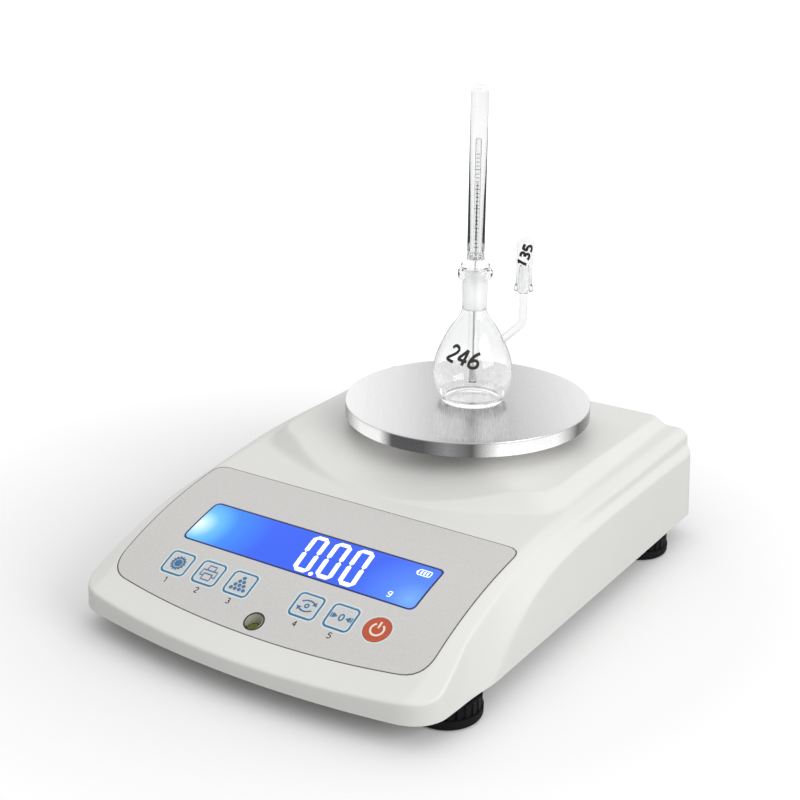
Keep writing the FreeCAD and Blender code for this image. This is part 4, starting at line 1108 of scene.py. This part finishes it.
def makeKeys():
    keyY = front + keys["y"]
    printed, around = keys["printRise"], film["rise"] + keys["aroundRise"]
    for name, place in keyPlaces.items():
        spot = onPanel(place * keys["pitch"], keyY)
        line = ringMark(keyRing(-(keys["line"] / 2 + keys["lineInset"])), keys["line"])
        halo = ringMark(keyRing(-(keys["line"] + keys["halo"] / 2)), keys["halo"])
        sign = Mark()
        keySigns[name](sign)
        line.lay(name + "_outline", spot, sunk, printed, name, "keyLine", "key")
        halo.lay(name + "_halo", spot, sunk, keys["haloRise"], name, "keyHalo", "key")
        sign.lay(name + "_sign", spot, sunk, printed, name, "keyLine", "key")
        outer = ringMark(keyRing(film["gap"] + keys["halo"] / 2 + keys["aroundOut"]), keys["halo"])
        outer.lay(name + "_surround", spot, 0, around, "root", "keyHalo", "key")
    spot = onPanel(keys["powerPlace"] * keys["pitch"], keyY)
    power = Mark()
    power.line(arc(*signs["powerArc"]), signs["powerLine"])
    power.line(signs["powerBar"], signs["powerLine"])
    power.lay("key_power_sign", spot, sunk, printed, "key_power", "powerSign", "power_key")
    rim = ringMark(circle(0, 0, keys["powerRadius"] + film["gap"] + keys["powerOut"]), keys["powerHalo"])
    rim.lay("key_power_surround", spot, 0, around, "root", "keyHalo", "key")
    captions = Mark()
    for number, place in enumerate(keyPlaces.values()):
        single = Mark()
        writeFigures(single, str(number + 1), keys["captionHeight"], keys["captionLine"])
        captions.take(single, place * keys["pitch"], 0)
    captions.lay("key_numbers", onPanel(0, front + keys["captionY"]), 0, around, "root", "caption", "level_black")
    print("keys made")


# What the display shows: three noughts with a point, and two small signs, placed from the window's middle
display = {
    "figures": (1.7, 14.4, 27.0),
    "size": (9.2, 24.4),
    "bar": 2.35,
    "lean": 2.8,
    "drop": 0.2,
    "barGap": 0.12,
    "barPoint": 0.12,
    "point": (9.3, -11.7, 1.15, 20),
    "battery": (3.3, 1.75, 0.8),
    "batteryPlace": (58.2, 8.6),
    "batteryLine": 0.5,
    "batteryPlates": [(54.1, 54.8, 7.8, 9.4), (56.15, 57.05, 7.6, 9.6), (57.75, 58.65, 7.6, 9.6),
                      (59.35, 60.25, 7.6, 9.6)],
    "unitRing": (50.7, -8.4, 0.9, 20),
    "unitTail": [(51.6, -7.4), (51.6, -8.4), (51.6, -9.6), (51.4, -10.4), (50.7, -10.7), (49.9, -10.4)],
    "unitLine": 0.4,
    "borderSunk": -0.15,
}


# One seven-bar figure with the middle bar off: six bars that keep their width and narrow to points at both ends
def barFigure(mark, x):
    thick, gap, point = display["bar"], display["barGap"], display["barPoint"]
    width, height = display["size"]
    half, tall = width / 2 - thick / 2, height / 2 - thick / 2

    def bar(a, b):
        a, b = np.array(a, float), np.array(b, float)
        length = np.linalg.norm(b - a)
        ends = [gap, gap + thick / 2 - point]
        run = np.r_[ends, np.linspace(ends[1], length - ends[1], 7)[1:-1], [length - end for end in ends[::-1]]]
        wide = np.full(len(run), float(thick))
        wide[[0, -1]] = point * 2
        path = a + (b - a) * run[:, None] / length
        path[:, 0] += x - display["lean"] * path[:, 1] / height
        mark.line(path, wide)
    for side in (-1, 1):
        bar((side * half, 0), (side * half, tall))
        bar((side * half, -tall), (side * half, 0))
        bar((-half, side * tall), (half, side * tall))


def makeDisplay():
    spot = onPanel(0, windowMiddle)
    inset = window["border"] / 2
    edge = ringMark(roundedRing(window["halfWidth"] - inset, windowHalf / slopeCosine(windowMiddle) - inset,
                                window["corner"], 8, 40), window["border"])
    edge.lay("window_border", spot, display["borderSunk"], window["rise"], "root", "windowEdge", "level_black")
    bars, digits = Mark(), Mark()
    for x in display["figures"]:
        barFigure(bars, x)
    digits.take(bars, 0, -display["drop"])
    digits.plate(circle(*display["point"]))
    digits.lay("display_figures", spot, sunk, window["rise"], "root", "digit", "lcd")
    small = ringMark(roundedRing(*display["battery"]) + np.array(display["batteryPlace"]), display["batteryLine"])
    for left, right, low, high in display["batteryPlates"]:
        small.plate([(left, low), (right, low), (right, high), (left, high)])
    small.line(circle(*display["unitRing"]), display["unitLine"], closed=True)
    small.line(display["unitTail"], display["unitLine"])
    small.lay("display_signs", spot, sunk, window["rise"], "root", "digit", "lcd")
    rim = ringMark(circle(0, 0, level["radius"] - level["rim"] / 2 + level["under"]), level["rim"])
    rim.lay("level_rim", onPanel(0, front + level["y"]), sunk, film["rise"] + window["rise"], "root", "levelRim",
            "level_black")
    print("display made")


# Turns a closed profile of radius and height round an upright axis: x and y are the axis plus the radius times the
# cosine and sine of the turn, and z is the bottom plus the height
def revolved(name, profile, x, y, bottom, bodyName, materialName, count=96, sharpAngle=35):
    r, h = np.array(profile, float).T
    angle = np.linspace(0, 2 * math.pi, count, endpoint=False)[None, :]
    points = np.dstack([x + r[:, None] * np.cos(angle), y + r[:, None] * np.sin(angle),
                        bottom + h[:, None] + 0 * angle]).reshape(-1, 3)
    piece = meshObject(name, points, gridFaces(len(r), count, wrap=True, loop=True), fixNormals=True)
    finishPiece(piece, bodyName, materialName, sharpAngle)
    return piece


def smoothProfile(points, count):
    table = lineTable(points)
    return [tuple(table[k]) for k in np.linspace(0, len(table) - 1, count).astype(int)]


# Quarter of an ellipse in a profile, from one angle to another, with its middle on the axis at a height
def domed(radius, middle, rise, start, end, count):
    return [(radius * math.cos(t), middle + rise * math.sin(t)) for t in np.linspace(start, end, count)]


pan = {"rim": 8.0, "thickness": 1.2, "edgeRound": 0.9, "rimRound": 0.25, "flatRings": (0, 20, 45, 60),
       "sideRings": (3.0, 5.5), "underRing": 40}
quarterTurn = math.pi / 2


def makePan():
    rim, wall, edge, low = pan["rim"], pan["thickness"], pan["edgeRound"], pan["rimRound"]
    radius = (panHigh.x - panLow.x) / 2 / mm
    profile = [(r, 0) for r in pan["flatRings"]]
    profile += [(radius - edge + edge * math.sin(t), -edge + edge * math.cos(t))
                for t in np.linspace(0, quarterTurn, 7)]
    profile += [(radius, -down) for down in pan["sideRings"]]
    profile += [(radius, -rim + low), (radius - low, -rim), (radius - wall, -rim), (radius - wall, -wall),
                (pan["underRing"], -wall), (0, -wall)]
    piece = revolved("pan_dish", profile, 0, body["panY"], body["panTop"], "pan", "pan", 256)
    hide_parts("weighing_pan")
    print("pan made")


# A copy of the load cell's bar in machined metal, in the imported one's place
def makeLoadCell():
    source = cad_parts["load_cell"]
    piece = bpy.data.objects.new("load_cell_bar", source.data.copy())
    scene.collection.objects.link(piece)
    tidyMesh(piece.data, False)
    dress(piece, "machined")
    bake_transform(piece)
    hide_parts("load_cell")
    print("load cell made")


# The bottle's profiles, as radius and height above the pan
bottle = {
    "side": [(16.3, 0.25), (17.6, 1.9), (18.9, 5.0), (20.2, 9.5), (20.8, 16.0), (19.4, 24.4), (15.6, 33.4),
             (11.2, 41.0), (7.4, 46.6), (6.3, 50.0)],
    "sidePoints": 44,
    "wall": 1.1,
    "innerFrom": 4.2,
    "under": [(0, 0.9), (9, 0.8), (13.2, 0.35), (14.8, 0.0), (15.7, 0.02)],
    "floor": [(15.6, 3.1), (13.5, 2.6), (0, 2.8)],
    "joint": [(6.3, 50.0), (6.45, 54.0), (6.9, 65.0), (5.55, 65.0), (4.75, 54.0), (5.0, 50.0)],
    "collar": [(6.9, 65.0), (7.3, 65.5), (8.3, 66.0), (8.9, 66.9), (9.0, 68.2), (8.9, 70.2), (8.4, 71.0),
               (7.6, 71.3), (6.2, 71.3), (5.85, 71.0), (5.55, 65.0)],
    "writing": {"text": "246", "height": 8.0, "width": 1.5, "gap": 0.76, "lean": 0.2, "turn": -0.2},
    "ink": (-0.05, 0.08),
    "writingSpot": {"middle": 28.5, "facing": -76, "perTurn": 18.0},
}
sideArm = {
    "radius": 2.35,
    "bore": 1.3,
    "reach": 25.1,
    "start": (15.4, 33.0),
    "bend": 41.5,
    "bendRadius": 7.0,
    "bendStep": 1.02,       # the straight run ends a little before the bend begins
    "top": 58.5,
    "cone": [(2.35, 58.5), (3.2, 58.8), (2.6, 72.7), (2.4, 73.0), (1.1, 73.0), (1.1, 58.5)],
}
armCap = {
    "side": [(3.6, 0), (4.4, 0.05), (4.9, 0.5), (5.0, 1.4), (4.85, 2.5), (4.4, 3.3), (4.1, 4.2), (4.1, 13.2),
             (4.4, 14.6)],
    "hollow": [(3.65, 15), (3.5, 13.5), (3.5, 0.4)],
    "radius": 4.4,
    "domeRise": 3.6,
    "hollowRadius": 3.65,
    "hollowDown": 3.9,
    "hollowRise": 3.1,
    "writing": {"text": "135", "height": 5.0, "width": 1.45, "gap": 0.84, "turn": math.radians(68)},
    "ink": (-0.03, 0.07),
    "writingSpot": {"middle": 19.6, "facing": -60, "perTurn": 4.4},
}
thermometer = {
    "top": 165.3,
    "radius": 4.5,
    "wall": 0.75,
    "stopper": [(0.9, 71.6), (6.5, 71.6), (7.4, 72.1), (7.6, 72.7), (7.3, 73.6), (6.2, 74.6), (5.0, 75.6),
                (4.5, 77.2)],
    "stemFoot": [(3.75, 78.6), (2.95, 77.2), (0.9, 76.6)],
    "cone": [(0.9, 50.0), (4.2, 50.0), (5.4, 71.55), (0.9, 71.55)],
    "probe": [(0, 9.0), (1.6, 9.15), (2.5, 9.8), (2.9, 11.0), (2.9, 46.0), (4.1, 49.9), (3.2, 49.9), (2.3, 46.5),
              (2.3, 11.6), (1.9, 10.6), (1.2, 10.2), (0, 10.1)],
    "rod": [(0.62, 77.0), (1.5, 77.0), (1.5, 137.0), (1.2, 137.6), (0.62, 137.6)],
    "rodRadius": 1.5,
    "scaleFrom": 82.0,
    "scaleStep": 2.0,
    "scaleMarks": 25,
    "scaleHalf": (1.5, 0.85),       # every fifth mark, and the others
    "scaleLine": 0.16,
    "reading": [(-0.2, 86.0), (-0.2, 94.0), (-0.2, 104.0)],
    "readingLine": 0.5,
    "facing": -62,
    "ink": (-0.02, 0.06),
}


def makeFlask():
    x, y, base = body["bottleX"], body["bottleY"], body["panTop"]
    outer = smoothProfile(bottle["side"], bottle["sidePoints"])
    inner = [(r - bottle["wall"], h) for r, h in outer[::-1] if h > bottle["innerFrom"]]
    profile = bottle["under"] + outer + inner + bottle["floor"]
    flask = revolved("flask_glass", profile, x, y, base, "bottle", "flaskGlass", 128)
    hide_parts("flask")
    revolved("flask_joint", bottle["joint"], x, y, base, "bottle", "frosted")
    revolved("flask_collar", bottle["collar"], x, y, base, "bottle", "glass")
    makeArm(x, y, base)
    writing = Mark()
    writeFigures(writing, **bottle["writing"])
    spot = onRound(x, y, base, outer, **bottle["writingSpot"])
    writing.lay("flask_number", spot, *bottle["ink"], "bottle", "ink", "level_black")


# The side arm: a ring carried along a straight run, a bend and an upright run, all in the plane that leads to the
# cap. A ring's points are the path's, plus the radius times the cosine across the path and the sine aside of it
def makeArm(x, y, base):
    heading = math.atan2(body["capY"] - y, body["capX"] - x)
    reach, bend, radius = sideArm["reach"], sideArm["bend"], sideArm["bendRadius"]
    start = np.array(sideArm["start"])
    corner = np.array([reach, bend])
    way = (corner - start) / np.linalg.norm(corner - start)
    bendAngle = math.pi / 2 - math.atan2(way[1], way[0])
    trim = radius * math.tan(bendAngle / 2)
    centre = np.array([reach - radius, bend + trim])
    sweep = np.linspace(-bendAngle, 0, 12)
    path = np.vstack([[start, corner - way * trim * sideArm["bendStep"]],
                      centre + radius * np.c_[np.cos(sweep), np.sin(sweep)], [[reach, sideArm["top"]]]])
    tangent = np.gradient(path, axis=0)
    tangent /= np.linalg.norm(tangent, axis=1)[:, None]
    across = np.c_[tangent[:, 1], -tangent[:, 0]]
    count = 40
    angle = np.linspace(0, 2 * math.pi, count, endpoint=False)

    def tube(r):
        run = path[:, :1] + across[:, :1] * r * np.cos(angle)
        rise = path[:, 1:] + across[:, 1:] * r * np.cos(angle)
        aside = r * np.sin(angle)
        return np.dstack([x + run * math.cos(heading) - aside * math.sin(heading),
                          y + run * math.sin(heading) + aside * math.cos(heading), base + rise])
    points = np.vstack([tube(sideArm["radius"]), tube(sideArm["bore"])[::-1]]).reshape(-1, 3)
    faces = gridFaces(2 * len(path), count, wrap=True, loop=True)
    arm = meshObject("flask_arm", points, faces, fixNormals=True)
    finishPiece(arm, "bottle", "glass", 35)
    revolved("flask_arm_cone", sideArm["cone"], body["capX"], body["capY"], base, "bottle", "frosted",
             64)


def makeCap():
    x, y = body["capX"], body["capY"]
    base = capLow.z / mm
    height = capHigh.z / mm - base
    dome = domed(armCap["radius"], height - armCap["domeRise"], armCap["domeRise"], 0.05, quarterTurn, 12)
    hollow = domed(armCap["hollowRadius"], height - armCap["hollowDown"], armCap["hollowRise"], quarterTurn, 0, 10)
    profile = armCap["side"] + dome + hollow + armCap["hollow"]
    cap = revolved("arm_cap", profile, x, y, base, "arm_cap", "glass", 80)
    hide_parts("side_arm_cap")
    writing = Mark()
    writeFigures(writing, **armCap["writing"])
    spot = onRound(x, y, base, [(armCap["radius"], 0)], **armCap["writingSpot"])
    writing.lay("cap_number", spot, *armCap["ink"], "arm_cap", "ink", "level_black")


def makeThermometer():
    x, y, base = body["bottleX"], body["bottleY"], body["panTop"]
    radius = thermometer["radius"]
    inner = radius - thermometer["wall"]
    middle = thermometer["top"] - radius
    profile = thermometer["stopper"] + domed(radius, middle, radius, 0, quarterTurn, 14)
    profile += domed(inner, middle, inner, quarterTurn, 0, 12) + thermometer["stemFoot"]
    stem = revolved("thermometer_stem", profile, x, y, base, "thermometer", "glass")
    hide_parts("thermometer_stopper")
    revolved("thermometer_cone", thermometer["cone"], x, y, base, "thermometer", "frosted")
    revolved("thermometer_probe", thermometer["probe"], x, y, base, "thermometer", "glass", 64)
    revolved("thermometer_rod", thermometer["rod"], x, y, base, "thermometer", "glass", 48)
    marks = Mark()
    half, (long, short) = thermometer["scaleLine"], thermometer["scaleHalf"]
    for k in range(thermometer["scaleMarks"]):
        h = thermometer["scaleFrom"] + thermometer["scaleStep"] * k
        wide = short if k % 5 else long
        marks.plate([(-wide, h - half), (wide, h - half), (wide, h + half), (-wide, h + half)])
    marks.line(thermometer["reading"], thermometer["readingLine"])
    rod = thermometer["rodRadius"]
    spot = onRound(x, y, base, [(rod, 0)], 0, thermometer["facing"], rod)
    marks.lay("thermometer_marks", spot, *thermometer["ink"], "thermometer", "scale", "column")
    print("bottle, cap and thermometer made")


# Camera at the photograph's place: azimuth and elevation of the view, and the photograph's own framing
view = {
    "place": (360.375, -550.738, 334.723),
    "azimuth": 33.2565,
    "elevation": 19.8858,
    "roll": 0.4726,
    "lens": 63.995,
    "sensor": 36.0,
    "clip": (0.01, 20.0),
}


def makeCamera():
    data = bpy.data.cameras.new("camera")
    data.lens = view["lens"]
    data.sensor_width = view["sensor"]
    data.clip_start, data.clip_end = view["clip"]
    camera = bpy.data.objects.new("camera", data)
    scene.collection.objects.link(camera)
    turn, tilt, roll = [math.radians(view[key]) for key in ("azimuth", "elevation", "roll")]
    back = Vector((math.sin(turn) * math.cos(tilt), -math.cos(turn) * math.cos(tilt), math.sin(tilt)))
    right = Vector((math.cos(turn), math.sin(turn), 0))
    up = back.cross(right)
    rolledRight = right * math.cos(roll) + up * math.sin(roll)
    rolledUp = up * math.cos(roll) - right * math.sin(roll)
    camera.matrix_world = Matrix((rolledRight, rolledUp, back)).transposed().to_4x4()
    camera.location = Vector(view["place"]) * mm
    scene.camera = camera
    print("camera made")


# Plain white studio: what the camera sees of it is full white, while it lights the scene with less
studio = {
    "halfSize": 3000.0,
    "floorLit": 0.5,
    "floorSeen": 0.95,
    "floorRough": 0.8,
    "throughGlass": 0.22,
    "lift": (0.17, 0.72),       # the floor's own light near the object, and at liftReach metres from it
    "liftReach": 0.6,
    "sky": (0.5, 0.95),
    "skySeen": 1.02,
    "lampPlace": (1.5, -0.25, 0.8),
    "lampTarget": (0, 0, 0.05),
    "lampSize": (1.1, 0.9),
    "lampPower": 12,
}


def makeStage():
    size = studio["halfSize"]
    floor = meshObject("floor", [(-size, -size, 0), (size, -size, 0), (size, size, 0), (-size, size, 0)],
                       [(0, 1, 2, 3)])
    made = bpy.data.materials.new("floor")
    made.use_nodes = True
    tree = made.node_tree
    ray = addNode(tree, "LightPath", {})
    through = ray["Is Transmission Ray"]
    seen = greatest(tree, [ray["Is Camera Ray"], through])
    lifted = greatest(tree, [ray["Is Camera Ray"], spread(tree, through, 0.0, studio["throughGlass"])])
    away = addNode(tree, "VectorMath", {0: addNode(tree, "TexCoord", {})["Object"]}, operation="LENGTH")["Value"]
    lift = spread(tree, away, 0.0, studio["liftReach"], *studio["lift"])
    fill(tree, tree.nodes["Principled BSDF"], {
        "Base Color": ramp(tree, seen, [(0.0, (studio["floorLit"],) * 3), (1.0, (studio["floorSeen"],) * 3)]),
        "Roughness": studio["floorRough"], "Specular IOR Level": 0.0, "Emission Color": white,
        "Emission Strength": calculate(tree, "MULTIPLY", lift, lifted)})
    floor.data.materials.append(made)
    world = bpy.data.worlds.new("studio")
    world.use_nodes = True
    tree = world.node_tree
    height = addNode(tree, "SeparateXYZ", {"Vector": addNode(tree, "TexCoord", {})["Generated"]})["Z"]
    ray = addNode(tree, "LightPath", {})
    kinds = [ray[kind] for kind in ("Is Camera Ray", "Is Transmission Ray", "Is Glossy Ray")]
    seen = spread(tree, greatest(tree, kinds), 0.0, studio["skySeen"])
    strength = greatest(tree, [seen, spread(tree, height, *studio["sky"])])
    fill(tree, tree.nodes["Background"], {"Color": white, "Strength": strength})
    scene.world = world


def makeLamp(name, place, target, size, power):
    data = bpy.data.lights.new(name, "AREA")
    data.shape = "RECTANGLE"
    data.size, data.size_y = size
    data.energy = power
    lamp = bpy.data.objects.new(name, data)
    scene.collection.objects.link(lamp)
    lamp.location = place
    lamp.rotation_mode = "QUATERNION"
    lamp.rotation_quaternion = (Vector(place) - Vector(target)).to_track_quat("Z", "Y")


dressNodes()
makeHousing()
makeFilm()
makeKeys()
makeDisplay()
makePan()
makeLoadCell()
makeFlask()
makeCap()
makeThermometer()
makeCamera()
makeStage()
makeLamp("sideLamp", studio["lampPlace"], studio["lampTarget"], studio["lampSize"], studio["lampPower"])

print("done")
